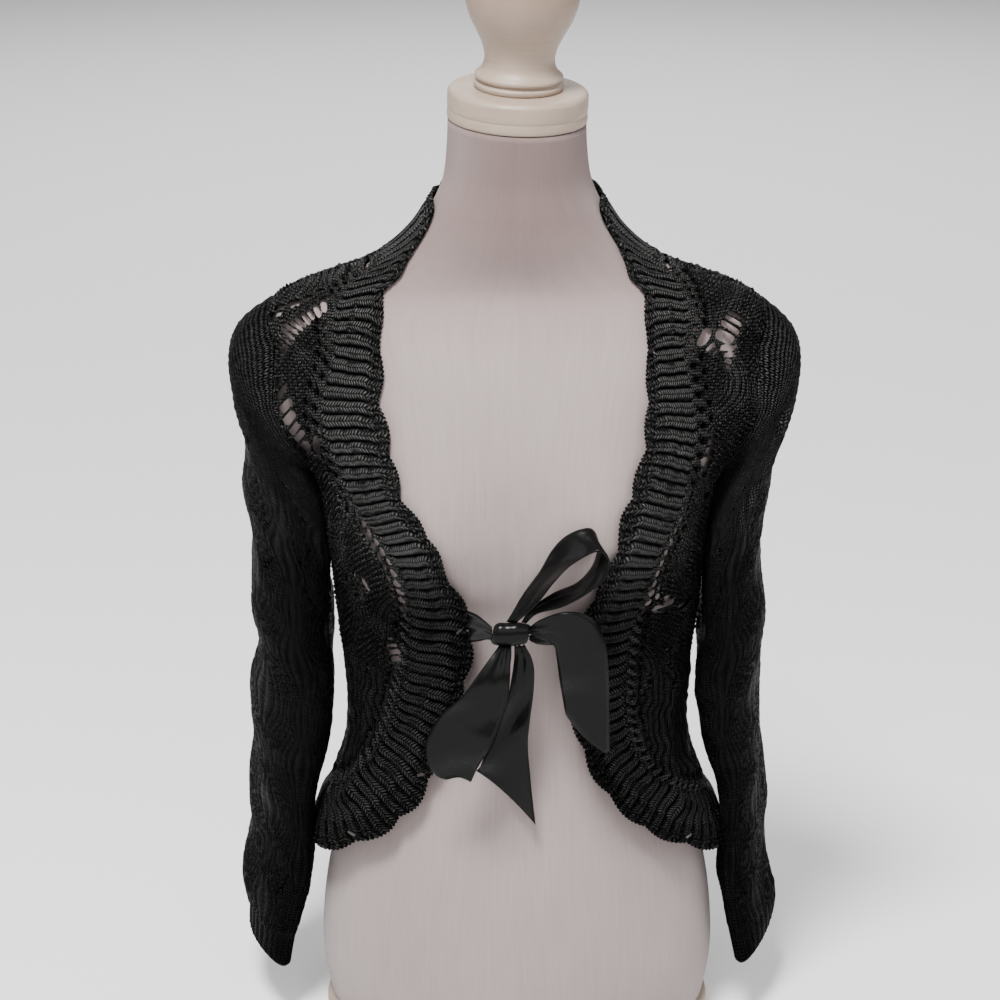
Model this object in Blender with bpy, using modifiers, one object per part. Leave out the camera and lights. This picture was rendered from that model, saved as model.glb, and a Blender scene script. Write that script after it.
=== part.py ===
"""Open-knit cardigan with a scalloped ribbed border and a satin bow, on a limbless dress form.

Metres, +Z up. The form stands on Z = 0 with its axis on the origin, and faces -Y.
A place on the body is given by a turn (degrees round the body from centre front, + towards +X)
and a height. A place in the lace is given by u (across) and v (up), in metres of cloth.
"""

import math

import bmesh
import bpy
import numpy as np
from mathutils import Vector
from mathutils.geometry import delaunay_2d_cdt

# ---------------------------------------------------------------- driving sizes
WALL = 0.0022  # thickness of the knitted cloth
SEAM = 0.0003  # gap between neighbouring pieces
LEAF_RISE = 0.0008  # how far a leaf's middle stands proud of the cloth

SHOULDER_HEIGHT = 0.598  # where the form is widest at the shoulders
NECK_TOP = 0.752  # top of the covered neck
BOARD_THICK = 0.015  # base board under the hips
NECK_BEND = 0.702  # from here up the neck's sections tilt
NECK_LEAN = math.radians(6)  # the neck's top and its cap lean forward by this much
NECK_TIP = math.radians(2.5)  # and towards +X by this much

# The form's level sections: half width, depth in front and behind, and how far the middle lies back.
FORM_COLUMNS = ("height", "half_width", "front", "back", "middle_y")
FORM = (
    (0.0153, 0.156, 0.110, 0.116, 0.000),
    (0.050, 0.162, 0.115, 0.122, 0.000),
    (0.100, 0.161, 0.115, 0.123, 0.000),
    (0.150, 0.153, 0.111, 0.116, 0.000),
    (0.200, 0.140, 0.103, 0.103, 0.000),
    (0.245, 0.129, 0.096, 0.093, 0.000),
    (0.275, 0.127, 0.094, 0.091, 0.000),
    (0.310, 0.130, 0.096, 0.095, 0.000),
    (0.360, 0.137, 0.101, 0.102, 0.000),
    (0.410, 0.143, 0.106, 0.106, 0.000),
    (0.460, 0.148, 0.108, 0.108, 0.001),
    (0.500, 0.152, 0.104, 0.108, 0.002),
    (0.540, 0.163, 0.094, 0.104, 0.004),
    (0.575, 0.180, 0.078, 0.096, 0.007),
    (0.598, 0.190, 0.064, 0.084, 0.009),
    (0.610, 0.181, 0.056, 0.074, 0.010),
    (0.620, 0.160, 0.052, 0.069, 0.011),
    (0.632, 0.124, 0.053, 0.067, 0.012),
    (0.645, 0.100, 0.056, 0.066, 0.012),
    (0.660, 0.083, 0.059, 0.066, 0.011),
    (0.680, 0.069, 0.059, 0.062, 0.008),
    (0.700, 0.0590, 0.056, 0.057, 0.004),
    (0.730, 0.0540, 0.054, 0.055, -0.002),
    (0.752, 0.0530, 0.053, 0.053, -0.006),
)
# The bust: a soft rise on each side of the front.
BUST_RISE = 0.030
BUST_APART = 0.072  # from the middle to each rise
BUST_HEIGHT = 0.447
BUST_WIDE, BUST_ABOVE, BUST_BELOW = 0.044, 0.075, 0.045

# How far the cloth's inside stands off the form, in millimetres.
EASE_COLUMNS = ("height", "front", "side", "back")
EASE = (
    (0.150, 12.0, 9.0, 11.0),
    (0.200, 11.0, 8.0, 9.0),
    (0.245, 12.0, 8.5, 9.0),
    (0.275, 12.5, 8.5, 9.5),
    (0.310, 12.0, 7.5, 9.0),
    (0.360, 10.0, 5.5, 7.0),
    (0.410, 6.0, 4.5, 5.0),
    (0.460, 3.0, 4.0, 4.0),
    (0.500, 2.6, 3.6, 4.0),
    (0.560, 2.2, 3.2, 3.0),
    (0.598, 1.8, 3.4, 2.2),
    (0.612, 1.7, 2.7, 2.0),
    (0.635, 1.6, 2.5, 2.1),
    (0.660, 1.6, 1.8, 1.8),
    (0.752, 1.6, 1.6, 1.6),
)


# Where an armless form lets the cloth run straight out from the chest to the armhole.
ARMHOLE_WEB = 0.036
ARMHOLE_WEB_HEIGHT, ARMHOLE_WEB_ABOVE, ARMHOLE_WEB_BELOW = 0.537, 0.034, 0.046
ARMHOLE_WEB_TURN = 26.0


def eased(stations, values, at):
    """A smooth curve through a table's rows: cubic pieces whose slopes come from the neighbours."""
    x, y = np.asarray(stations, float), np.asarray(values, float)
    slope = np.gradient(y, x)
    at = np.clip(np.asarray(at, float), x[0], x[-1])
    i = np.clip(np.searchsorted(x, at) - 1, 0, len(x) - 2)
    step = x[i + 1] - x[i]
    t = (at - x[i]) / step
    rise = t * t * (3 - 2 * t)
    lead_in = (t - 1) ** 2 * t * step * slope[i]
    lead_out = t * t * (t - 1) * step * slope[i + 1]
    return y[i] * (1 - rise) + y[i + 1] * rise + lead_in + lead_out


def column(table, names, name):
    return [row[names.index(name)] for row in table]


def form_size(name, height):
    return eased(column(FORM, FORM_COLUMNS, "height"), column(FORM, FORM_COLUMNS, name), height)


def form_point(turn, height):
    """The form's surface: an ellipse at each height, deeper behind than in front, plus the bust."""
    turn, height = np.broadcast_arrays(np.asarray(turn, float), np.asarray(height, float))
    angle = np.radians(turn)
    x = form_size("half_width", height) * np.sin(angle)
    ahead = np.cos(angle)
    depth = np.where(ahead > 0, form_size("front", height), form_size("back", height))
    spread = np.where(height > BUST_HEIGHT, BUST_ABOVE, BUST_BELOW)
    rise = BUST_RISE * np.exp(
        -(((np.abs(x) - BUST_APART) / BUST_WIDE) ** 2) - ((height - BUST_HEIGHT) / spread) ** 2
    )
    rise = rise * np.clip(ahead, 0, 1) ** 0.5
    back_set = -depth * ahead - rise
    t = np.clip((height - NECK_BEND) / (NECK_TOP - NECK_BEND), 0, 1)
    blend = t * t * (3 - 2 * t)
    lower = (math.tan(NECK_LEAN) * back_set - math.tan(NECK_TIP) * x) * blend
    return np.stack([x, form_size("middle_y", height) + back_set, height + lower], -1)


def outward(surface, p, q, dp, dq):
    """Unit normals of surface(p, q), from small steps either way."""
    across = surface(p + dp, q) - surface(p - dp, q)
    along = surface(p, q + dq) - surface(p, q - dq)
    normal = np.cross(across, along)
    return normal / np.linalg.norm(normal, axis=-1, keepdims=True)


def ease_at(turn, height):
    """How far the cloth's inside stands off the form: blended round the body, and out at the armholes."""
    ahead = np.cos(np.radians(turn))
    heights = column(EASE, EASE_COLUMNS, "height")
    front, side, back = (
        eased(heights, column(EASE, EASE_COLUMNS, name), height) for name in EASE_COLUMNS[1:]
    )
    ends = np.where(ahead > 0, front, back)
    stand_off = (side + (ends - side) * ahead**2) * 0.001
    spread = np.where(height > ARMHOLE_WEB_HEIGHT, ARMHOLE_WEB_ABOVE, ARMHOLE_WEB_BELOW)
    web = ARMHOLE_WEB * np.exp(
        -(((np.abs(turn_within(turn)) - 90) / ARMHOLE_WEB_TURN) ** 2)
        - ((height - ARMHOLE_WEB_HEIGHT) / spread) ** 2
    )
    return stand_off + web


def turn_within(turn):
    """The same turn, between -180 and 180."""
    return (np.asarray(turn, float) + 180) % 360 - 180


def cloth_inside(turn, height):
    """The cardigan's inside: the form's surface moved out by the ease."""
    normal = outward(form_point, turn, height, 0.5, 0.0008)
    return form_point(turn, height) + normal * ease_at(turn, height)[..., None]


def cloth_point(turn, height, lift=0.0):
    """A point of the body's cloth, lift above its inside."""
    turn, height, lift = np.broadcast_arrays(turn, height, lift)
    normal = outward(cloth_inside, turn, height, 0.4, 0.0008)
    return cloth_inside(turn, height) + normal * lift[..., None]


# ---------------------------------------------------------------- lace
LACE_WIDE, LACE_TALL = 0.095, 0.094  # one repeat of the leaf pattern
LACE_SWING = 0.013  # how far a ladder of slots swings to each side
SLOT_LONG, SLOT_WIDE = 0.0096, 0.0043
SLOT_PITCH = 0.0064
METRES_A_DEGREE = 0.0023  # cloth round the body, at the bust

_rise = np.arange(0.14, 0.7525, 0.001)
_run = form_point(50.0, _rise)
_along = np.concatenate([[0], np.cumsum(np.linalg.norm(np.diff(_run, axis=0), axis=1))])


def lace_of(turn, height, middle):
    """Lace u and v of a place on the body. Over the shoulders a column keeps its distance from centre."""
    turn, height = np.broadcast_arrays(np.asarray(turn, float), np.asarray(height, float))
    offset = np.radians(turn - middle)
    shrink = form_size("half_width", height) / form_size("half_width", SHOULDER_HEIGHT)
    shrink = np.where(height > SHOULDER_HEIGHT, np.minimum(shrink, 1), 1)
    bent = np.where(shrink < 1, np.arcsin(np.clip(np.sin(offset) * shrink, -1, 1)), offset)
    u = (np.degrees(bent) + middle) * METRES_A_DEGREE
    return np.stack([u, np.interp(height, _rise, _along)], -1)


def place_of(u, v, middle):
    """The inverse of lace_of: turn and height."""
    height = np.interp(v, _along, _rise)
    offset = np.radians(u / METRES_A_DEGREE - middle)
    shrink = form_size("half_width", height) / form_size("half_width", SHOULDER_HEIGHT)
    shrink = np.where(height > SHOULDER_HEIGHT, np.minimum(shrink, 1), 1)
    wide = np.arcsin(np.clip(np.sin(offset) / shrink, -1, 1))
    return np.degrees(np.where(shrink < 1, wide, offset)) + middle, height


def ladder_u(line, v):
    """Where ladder number line runs, at v."""
    return line * LACE_WIDE / 2 + LACE_SWING * np.cos(2 * np.pi * v / LACE_TALL + line * np.pi)


def leaf_height(u, v):
    """1 in the middle of a wide leaf, 0 along the ladders."""
    line = np.floor(u / (LACE_WIDE / 2))
    for _ in range(2):
        line = line - (u < ladder_u(line, v)) + (u > ladder_u(line + 1, v))
    left, right = ladder_u(line, v), ladder_u(line + 1, v)
    across = np.clip((u - left) / (right - left), 0, 1)
    return np.sin(np.pi * across) * (right - left) / (LACE_WIDE / 2 + 2 * LACE_SWING)


def slots_in(low, high, rungs):
    """Corners of the slots that are cut: on each ladder's diagonals, rungs of them at a time."""
    slots = []
    for line in range(math.floor(low[0] / (LACE_WIDE / 2)) - 1, math.ceil(high[0] / (LACE_WIDE / 2)) + 2):
        for half in range(math.floor(2 * low[1] / LACE_TALL) - 1, math.ceil(2 * high[1] / LACE_TALL) + 1):
            steep = (half / 2 + 0.25) * LACE_TALL
            ahead = ladder_u(line, steep + 0.001) - ladder_u(line, steep - 0.001)
            along = Vector((ahead, 0.002)).normalized()
            across = Vector((-along.y, along.x))
            for rung in range(rungs):
                v = steep + (rung - (rungs - 1) / 2) * SLOT_PITCH * along.y
                middle = Vector((float(ladder_u(line, v)), v))
                corners = ((-1, -1), (1, -1), (1, 1), (-1, 1))
                slots.append(
                    [middle + across * (i * SLOT_LONG / 2) + along * (j * SLOT_WIDE / 2) for i, j in corners]
                )
    return slots


# ---------------------------------------------------------------- solids
def finish_object(mesh_tools, name, material):
    """Turns a bmesh into an object whose faces all point out."""
    bmesh.ops.recalc_face_normals(mesh_tools, faces=mesh_tools.faces)
    mesh = bpy.data.meshes.new(name)
    mesh_tools.to_mesh(mesh)
    mesh_tools.free()
    if sum(f.center.dot(f.normal) * f.area for f in mesh.polygons) < 0:
        mesh.flip_normals()
    mesh.materials.append(material)
    for face in mesh.polygons:
        face.use_smooth = True
    obj = bpy.data.objects.new(name, mesh)
    collection.objects.link(obj)
    return obj


def solid(name, points, faces, material):
    """An object from a list of points and faces, which close round one body."""
    tools = bmesh.new()
    corners = [tools.verts.new(p) for p in points]
    for face in faces:
        tools.faces.new([corners[i] for i in face])
    return finish_object(tools, name, material)


def inside(point, loop):
    """Whether a point is within a closed loop, by counting the sides to its right."""
    found = False
    for a, b in zip(loop, loop[1:] + loop[:1]):
        if (a[1] > point[1]) != (b[1] > point[1]):
            cross = a[0] + (point[1] - a[1]) / (b[1] - a[1]) * (b[0] - a[0])
            found ^= point[0] < cross
    return found


def distance_to(point, loop):
    """How far a point is from the nearest side of a loop."""
    near = 1.0
    p = Vector(point)
    for a, b in zip(loop, loop[1:] + loop[:1]):
        a, b = Vector(a), Vector(b)
        t = min(1, max(0, (p - a).dot(b - a) / max((b - a).length_squared, 1e-12)))
        near = min(near, (p - a - (b - a) * t).length)
    return near


def cut_cloth(name, outline, place, rungs, spacing, material, extra=()):
    """A knitted piece: its flat outline less the lace's slots, in triangles, walled between two faces.

    place(u, v, lift) gives the points of the worn piece. extra lists more places to follow.
    """
    outline = [tuple(map(float, p)) for p in outline]
    low = [min(p[i] for p in outline) for i in (0, 1)]
    high = [max(p[i] for p in outline) for i in (0, 1)]
    slots = [
        slot
        for slot in slots_in(low, high, rungs)
        if all(inside(p, outline) and distance_to(p, outline) > 0.0035 for p in slot)
    ]
    corners, sides = [Vector(p) for p in outline], []
    for slot in slots:
        first = len(corners)
        corners += slot
        sides += [(first + i, first + (i + 1) % 4) for i in range(4)]
    middles = [sum(slot, Vector((0, 0))) / 4 for slot in slots]
    rows = math.ceil((high[1] - low[1]) / (spacing * 0.87)) + 1
    for row in range(rows):
        for column_ in range(math.ceil((high[0] - low[0]) / spacing) + 2):
            u = low[0] + (column_ - 0.5 * (row % 2)) * spacing
            v = low[1] + row * spacing * 0.87
            if any(abs(m.x - u) < 0.0095 and abs(m.y - v) < 0.0075 for m in middles):
                continue
            if inside((u, v), outline) and distance_to((u, v), outline) > 0.5 * spacing:
                corners.append(Vector((u, v)))
    for u, v in extra:
        if inside((u, v), outline) and distance_to((u, v), outline) > 0.0012:
            near = min((p - Vector((u, v))).length for p in corners)
            if near > 0.004:
                corners.append(Vector((u, v)))
    flat, _, faces, _, _, _ = delaunay_2d_cdt(corners, sides, [range(len(outline))], 1, 1e-7)
    kept = []
    for face in faces:
        middle = sum((flat[i] for i in face), Vector((0, 0))) / 3
        if not any(inside(middle, slot) for m, slot in zip(middles, slots) if (m - middle).length < 0.01):
            kept.append(list(face))
    u, v = np.array([p.x for p in flat]), np.array([p.y for p in flat])
    under = place(u, v, np.zeros(len(u)))
    over = place(u, v, WALL + LEAF_RISE * leaf_height(u, v))
    count = len(flat)
    walls = []
    seen = {}
    for face in kept:
        for a, b in zip(face, face[1:] + face[:1]):
            seen[(a, b)] = seen.get((a, b), 0) + 1
    for a, b in seen:
        if (b, a) not in seen:
            walls.append([b, a, a + count, b + count])
    top = [[i + count for i in face] for face in kept]
    bottom = [face[::-1] for face in kept]
    points = np.concatenate([under, over])
    return solid(name, points, top + bottom + walls, material)


# ---------------------------------------------------------------- ribbed border
RIB_HEIGHT = 0.0014
SCALLOP, SCALLOP_RIBS = 0.0036, 4  # the free edge's waves: depth, and ribs in each

BORDER_COLUMNS = ("edge_turn", "edge_height", "seam_turn", "seam_height", "curl_mm")
# Down the right front (towards -X), from the shoulder seam to the side seam.
BORDER_RIGHT = (
    (-89.9, 0.692, -89.9, 0.641, 0),
    (-68, 0.682, -76, 0.638, 0),
    (-60, 0.660, -66, 0.633, 0),
    (-54, 0.643, -58.5, 0.624, 0),
    (-43, 0.627, -51, 0.613, 0),
    (-34.5, 0.609, -48.5, 0.600, 0),
    (-33.5, 0.588, -49, 0.583, 0),
    (-35.5, 0.567, -54, 0.564, 0),
    (-38, 0.548, -60, 0.542, 0),
    (-38, 0.527, -64, 0.516, 0),
    (-36.5, 0.506, -65, 0.488, 0),
    (-34, 0.490, -62, 0.465, 0),
    (-31, 0.477, -57.5, 0.450, 0),
    (-27, 0.464, -52, 0.439, 0),
    (-23.5, 0.448, -47.5, 0.428, 0),
    (-20.5, 0.428, -43.5, 0.412, 0),
    (-17, 0.405, -41, 0.396, 0),
    (-14.8, 0.381, -39.5, 0.376, 1),
    (-14.3, 0.357, -39.3, 0.352, 1),
    (-16, 0.333, -41.5, 0.327, 0),
    (-20, 0.307, -45, 0.301, 0),
    (-24.5, 0.280, -49.5, 0.275, 0),
    (-28, 0.251, -55, 0.252, 1),
    (-32.5, 0.225, -61, 0.234, 3),
    (-38.5, 0.204, -67, 0.221, 4),
    (-48, 0.184, -72.5, 0.212, 4),
    (-60, 0.168, -78.5, 0.206, 4),
    (-74, 0.158, -84, 0.203, 4),
    (-89.9, 0.154, -89.9, 0.202, 4),
)
# Down the left front (towards +X), from the shoulder seam to the side seam.
BORDER_LEFT = (
    (89.9, 0.692, 89.9, 0.641, 0),
    (68, 0.683, 76, 0.638, 0),
    (62, 0.662, 67, 0.633, 0),
    (54, 0.645, 59, 0.626, 0),
    (42, 0.629, 50, 0.616, 0),
    (33, 0.611, 45, 0.603, 0),
    (31.5, 0.590, 43.5, 0.585, 0),
    (34, 0.567, 48, 0.564, 0),
    (36, 0.546, 53, 0.542, 0),
    (37.5, 0.525, 57.5, 0.518, 0),
    (37, 0.504, 59, 0.494, 0),
    (34.5, 0.486, 57.5, 0.475, 0),
    (32, 0.470, 54.5, 0.459, 0),
    (30.5, 0.452, 50.5, 0.443, 0),
    (28.5, 0.434, 46.5, 0.428, 0),
    (25.5, 0.415, 43, 0.411, 0),
    (22, 0.395, 40.5, 0.393, 0),
    (18, 0.374, 38, 0.373, 1),
    (15.5, 0.351, 37, 0.349, 1),
    (15.5, 0.328, 37.5, 0.325, 0),
    (18, 0.303, 38.5, 0.300, 0),
    (21, 0.278, 41, 0.275, 0),
    (25, 0.252, 45, 0.252, 1),
    (30.5, 0.228, 51, 0.234, 3),
    (38, 0.204, 58.5, 0.221, 4),
    (48.5, 0.184, 67, 0.210, 4),
    (61, 0.167, 75, 0.203, 4),
    (75, 0.156, 83, 0.199, 4),
    (89.9, 0.153, 89.9, 0.198, 4),
)
BORDER_NECK = (
    (90.1, 0.692, 90.1, 0.641, 0),
    (120, 0.697, 116, 0.647, 0),
    (150, 0.700, 146, 0.654, 0),
    (180, 0.701, 180, 0.657, 0),
    (210, 0.700, 214, 0.654, 0),
    (240, 0.697, 244, 0.647, 0),
    (269.9, 0.692, 269.9, 0.641, 0),
)
BORDER_HEM = (
    (90.1, 0.153, 90.1, 0.198, 4),
    (120, 0.153, 120, 0.199, 4),
    (150, 0.155, 150, 0.203, 4),
    (180, 0.156, 180, 0.205, 4),
    (210, 0.156, 210, 0.204, 4),
    (240, 0.155, 240, 0.203, 4),
    (269.9, 0.154, 269.9, 0.202, 4),
)


def rib_places(table, ribs):
    """The table's rows at the ends of each rib, so that ribs share the border's length evenly."""
    rows = np.arange(len(table))
    fine = np.linspace(0, len(table) - 1, 40 * len(table))
    named = {name: column(table, BORDER_COLUMNS, name) for name in BORDER_COLUMNS}
    smooth = {name: eased(rows, values, fine) for name, values in named.items()}
    middle = cloth_point(
        (smooth["edge_turn"] + smooth["seam_turn"]) / 2,
        (smooth["edge_height"] + smooth["seam_height"]) / 2,
    )
    run = np.concatenate([[0], np.cumsum(np.linalg.norm(np.diff(middle, axis=0), axis=1))])
    at = np.interp(np.linspace(0, run[-1], ribs + 1), run, fine)
    return {name: eased(rows, values, at) for name, values in named.items()}


def border(name, table, ribs, material):
    """A ribbed strip: three rows from seam to free edge, raised between each pair of rib ends."""
    ends = rib_places(table, ribs)
    wide = np.linalg.norm(
        cloth_point(ends["edge_turn"], ends["edge_height"])
        - cloth_point(ends["seam_turn"], ends["seam_height"]),
        axis=1,
    )
    wave = np.abs(np.sin(np.pi * np.arange(ribs + 1) / SCALLOP_RIBS)) - 0.5
    valleys, plain, ups = [], [], []
    for row in (0.0, 0.5, 1.0):
        across = row + (SEAM * (1 - row) + SCALLOP * wave * (row == 1.0)) / wide
        turn = ends["seam_turn"] + (ends["edge_turn"] - ends["seam_turn"]) * across
        height = ends["seam_height"] + (ends["edge_height"] - ends["seam_height"]) * across
        curl = ends["curl_mm"] * 0.001 * row**2
        inner = cloth_point(turn, height, curl)
        up = outward(cloth_inside, turn, height, 0.4, 0.0008)
        plain.append(inner)
        valleys.append(inner + up * WALL * 0.85)
        ups.append(up)
    peaks = [
        (inner[1:] + inner[:-1]) / 2 + (up[1:] + up[:-1]) / 2 * (WALL * 0.85 + RIB_HEIGHT)
        for inner, up in zip(plain, ups)
    ]
    points = np.concatenate(plain + valleys + peaks)
    n = ribs + 1

    def low(row, i):
        return row * n + i

    def valley(row, i):
        return (3 + row) * n + i

    def peak(row, i):
        return 6 * n + row * ribs + i

    faces = []
    for i in range(ribs):
        for row in (0, 1):
            faces.append([valley(row, i), peak(row, i), peak(row + 1, i), valley(row + 1, i)])
            faces.append([peak(row, i), valley(row, i + 1), valley(row + 1, i + 1), peak(row + 1, i)])
            faces.append([low(row, i), low(row + 1, i), low(row + 1, i + 1), low(row, i + 1)])
        faces.append([low(0, i), low(0, i + 1), valley(0, i + 1), peak(0, i), valley(0, i)])
        faces.append([low(2, i + 1), low(2, i), valley(2, i), peak(2, i), valley(2, i + 1)])
    for row in (0, 1):
        faces.append([low(row, 0), valley(row, 0), valley(row + 1, 0), low(row + 1, 0)])
        faces.append([low(row + 1, ribs), valley(row + 1, ribs), valley(row, ribs), low(row, ribs)])
    return solid(name, points, faces, material)


# ---------------------------------------------------------------- body panels
RIBS_FRONT, RIBS_NECK, RIBS_HEM = 62, 22, 46
SIDE_GAP = 0.1  # degrees kept clear on each side of a seam at the side or the shoulder
ARMHOLE_HEIGHT, ARMHOLE_TALL, ARMHOLE_HALF_TURN = 0.541, 0.066, 13.0
SIDE_STATIONS, ARMHOLE_STATIONS, SHOULDER_STATIONS = 18, 8, 4


def armhole(around):
    """The armhole on the +X side: around is 0 at the shoulder, 90 in front, 180 underneath."""
    angle = np.radians(around)
    return 90 - ARMHOLE_HALF_TURN * np.sin(angle), ARMHOLE_HEIGHT + ARMHOLE_TALL * np.cos(angle)


def half_outline(side, gap, front, seam_height):
    """From the hem up the side seam, round half an armhole and along the shoulder, as turns and heights.

    side is 1 for +X. gap keeps clear of the seam, on the front's side of it or the back's.
    """
    up = np.linspace(seam_height, ARMHOLE_HEIGHT - ARMHOLE_TALL, SIDE_STATIONS)[:-1]
    turns, heights = [90 + gap] * len(up), list(up)
    for around in np.linspace(180, 0, ARMHOLE_STATIONS + 1):
        turn, height = armhole(around if front else -around)
        turns.append(turn + gap)
        heights.append(height)
    top = np.linspace(ARMHOLE_HEIGHT + ARMHOLE_TALL, 0.641, SHOULDER_STATIONS + 1)[1:-1]
    turns += [90 + gap] * len(top)
    heights += list(top)
    return side * np.array(turns), np.array(heights)


def shoulder_places(middle):
    """More places just below the shoulder line, where the cloth turns over the form."""
    turns, heights = np.meshgrid((50, 62, 72, 81), (0.606, 0.613, 0.620, 0.627, 0.634, 0.640))
    turns, heights = turns.ravel(), heights.ravel()
    both = np.concatenate([middle + turns, middle - turns])
    return lace_of(both, np.concatenate([heights, heights]), middle)


def front_panel(name, side, table, material):
    ends = rib_places(table, RIBS_FRONT)
    turn, height = half_outline(side, -SIDE_GAP, True, ends["seam_height"][-1])
    turns = np.concatenate([ends["seam_turn"][:-1], turn])
    heights = np.concatenate([ends["seam_height"][:-1], height])
    outline = lace_of(turns, heights, 0)

    def place(u, v, lift):
        return cloth_point(*place_of(u, v, 0), lift)

    cut_cloth(name, outline, place, 2, 0.0165, material, shoulder_places(0))


def back_panel(name, material):
    neck = rib_places(BORDER_NECK, RIBS_NECK)
    hem = rib_places(BORDER_HEM, RIBS_HEM)
    left_turn, left_height = half_outline(1, SIDE_GAP, False, hem["seam_height"][0])
    right_turn, right_height = half_outline(-1, SIDE_GAP, False, hem["seam_height"][-1])
    turns = np.concatenate(
        [hem["seam_turn"][1:-1][::-1], left_turn, neck["seam_turn"], (right_turn + 360)[::-1]]
    )
    heights = np.concatenate(
        [hem["seam_height"][1:-1][::-1], left_height, neck["seam_height"], right_height[::-1]]
    )
    outline = lace_of(turns, heights, 180)

    def place(u, v, lift):
        return cloth_point(*place_of(u, v, 180), lift)

    cut_cloth(name, outline, place, 1, 0.0225, material, shoulder_places(180))


# ---------------------------------------------------------------- sleeves
SLEEVE_DEGREE = 0.00078  # metres of cloth in a degree round the sleeve
SLEEVE_GAP = 0.25  # degrees kept clear on each side of the line between its halves
SLEEVE_COLUMNS = ("inner_x", "inner_z", "outer_x", "outer_z", "half_deep", "mid_y", "belly_mm")
# Rings of the flattened sleeve down from the armhole. Both start at the armhole's own curve.
SLEEVE_LEFT = (
    (0.160, 0.475, 0.197, 0.607, 0.036, 0.002, 12),
    (0.166, 0.468, 0.212, 0.598, 0.037, 0.002, 20),
    (0.163, 0.454, 0.2170, 0.577, 0.046, 0.003, 15),
    (0.157, 0.436, 0.2155, 0.552, 0.055, 0.004, 8),
    (0.156, 0.418, 0.2090, 0.524, 0.057, 0.005, 3),
    (0.1545, 0.398, 0.2015, 0.493, 0.058, 0.006, -1),
    (0.1535, 0.376, 0.1980, 0.461, 0.058, 0.007, -3),
    (0.1525, 0.353, 0.1930, 0.428, 0.057, 0.008, -4),
    (0.1510, 0.330, 0.1940, 0.394, 0.056, 0.008, -4),
    (0.1500, 0.307, 0.1985, 0.358, 0.056, 0.008, -4),
    (0.1505, 0.284, 0.1972, 0.322, 0.055, 0.008, -4),
    (0.1530, 0.261, 0.1968, 0.288, 0.055, 0.009, -3),
    (0.1590, 0.238, 0.1990, 0.257, 0.054, 0.010, -2),
    (0.1665, 0.215, 0.2010, 0.228, 0.053, 0.012, 0),
    (0.1695, 0.192, 0.2045, 0.200, 0.051, 0.013, 0),
    (0.1700, 0.169, 0.2075, 0.173, 0.050, 0.014, 0),
    (0.1700, 0.146, 0.2075, 0.148, 0.048, 0.014, 0),
    (0.1715, 0.122, 0.2085, 0.122, 0.047, 0.013, 0),
    (0.1755, 0.097, 0.2130, 0.100, 0.045, 0.012, 0),
    (0.1805, 0.073, 0.2185, 0.081, 0.043, 0.011, 0),
    (0.1855, 0.050, 0.2165, 0.066, 0.042, 0.010, 0),
)
SLEEVE_RIGHT = (
    (0.160, 0.475, 0.199, 0.607, 0.036, 0.002, 12),
    (0.166, 0.468, 0.2150, 0.599, 0.037, 0.002, 20),
    (0.163, 0.454, 0.2205, 0.578, 0.046, 0.003, 16),
    (0.158, 0.436, 0.2205, 0.553, 0.056, 0.004, 9),
    (0.157, 0.418, 0.2150, 0.524, 0.058, 0.005, 4),
    (0.1555, 0.398, 0.2130, 0.493, 0.058, 0.006, 0),
    (0.1545, 0.376, 0.2155, 0.460, 0.057, 0.007, -2),
    (0.1535, 0.353, 0.2100, 0.426, 0.057, 0.008, -4),
    (0.1535, 0.330, 0.2115, 0.392, 0.057, 0.008, -5),
    (0.1535, 0.307, 0.2125, 0.357, 0.056, 0.008, -5),
    (0.1540, 0.284, 0.2080, 0.324, 0.055, 0.008, -5),
    (0.1560, 0.261, 0.2165, 0.290, 0.055, 0.009, -5),
    (0.1610, 0.238, 0.2190, 0.257, 0.054, 0.010, -4),
    (0.1675, 0.215, 0.2180, 0.229, 0.054, 0.012, -3),
    (0.1705, 0.192, 0.2225, 0.200, 0.053, 0.013, -3),
    (0.1715, 0.168, 0.2240, 0.172, 0.051, 0.014, -3),
    (0.1735, 0.144, 0.2245, 0.148, 0.049, 0.014, -3),
    (0.1775, 0.120, 0.2300, 0.123, 0.047, 0.013, -3),
    (0.1835, 0.096, 0.2320, 0.100, 0.045, 0.012, -3),
    (0.1895, 0.072, 0.2275, 0.077, 0.044, 0.011, -2),
    (0.1940, 0.048, 0.2280, 0.056, 0.043, 0.010, -2),
)


def sleeve_run(table):
    """How far down the sleeve each ring is, along the middle of its outer half."""
    x = [0.35 * row[0] + 0.65 * row[2] for row in table]
    z = [0.35 * row[1] + 0.65 * row[3] for row in table]
    steps = np.hypot(np.diff(x), np.diff(z))
    return np.concatenate([[0], np.cumsum(steps)])


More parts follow.
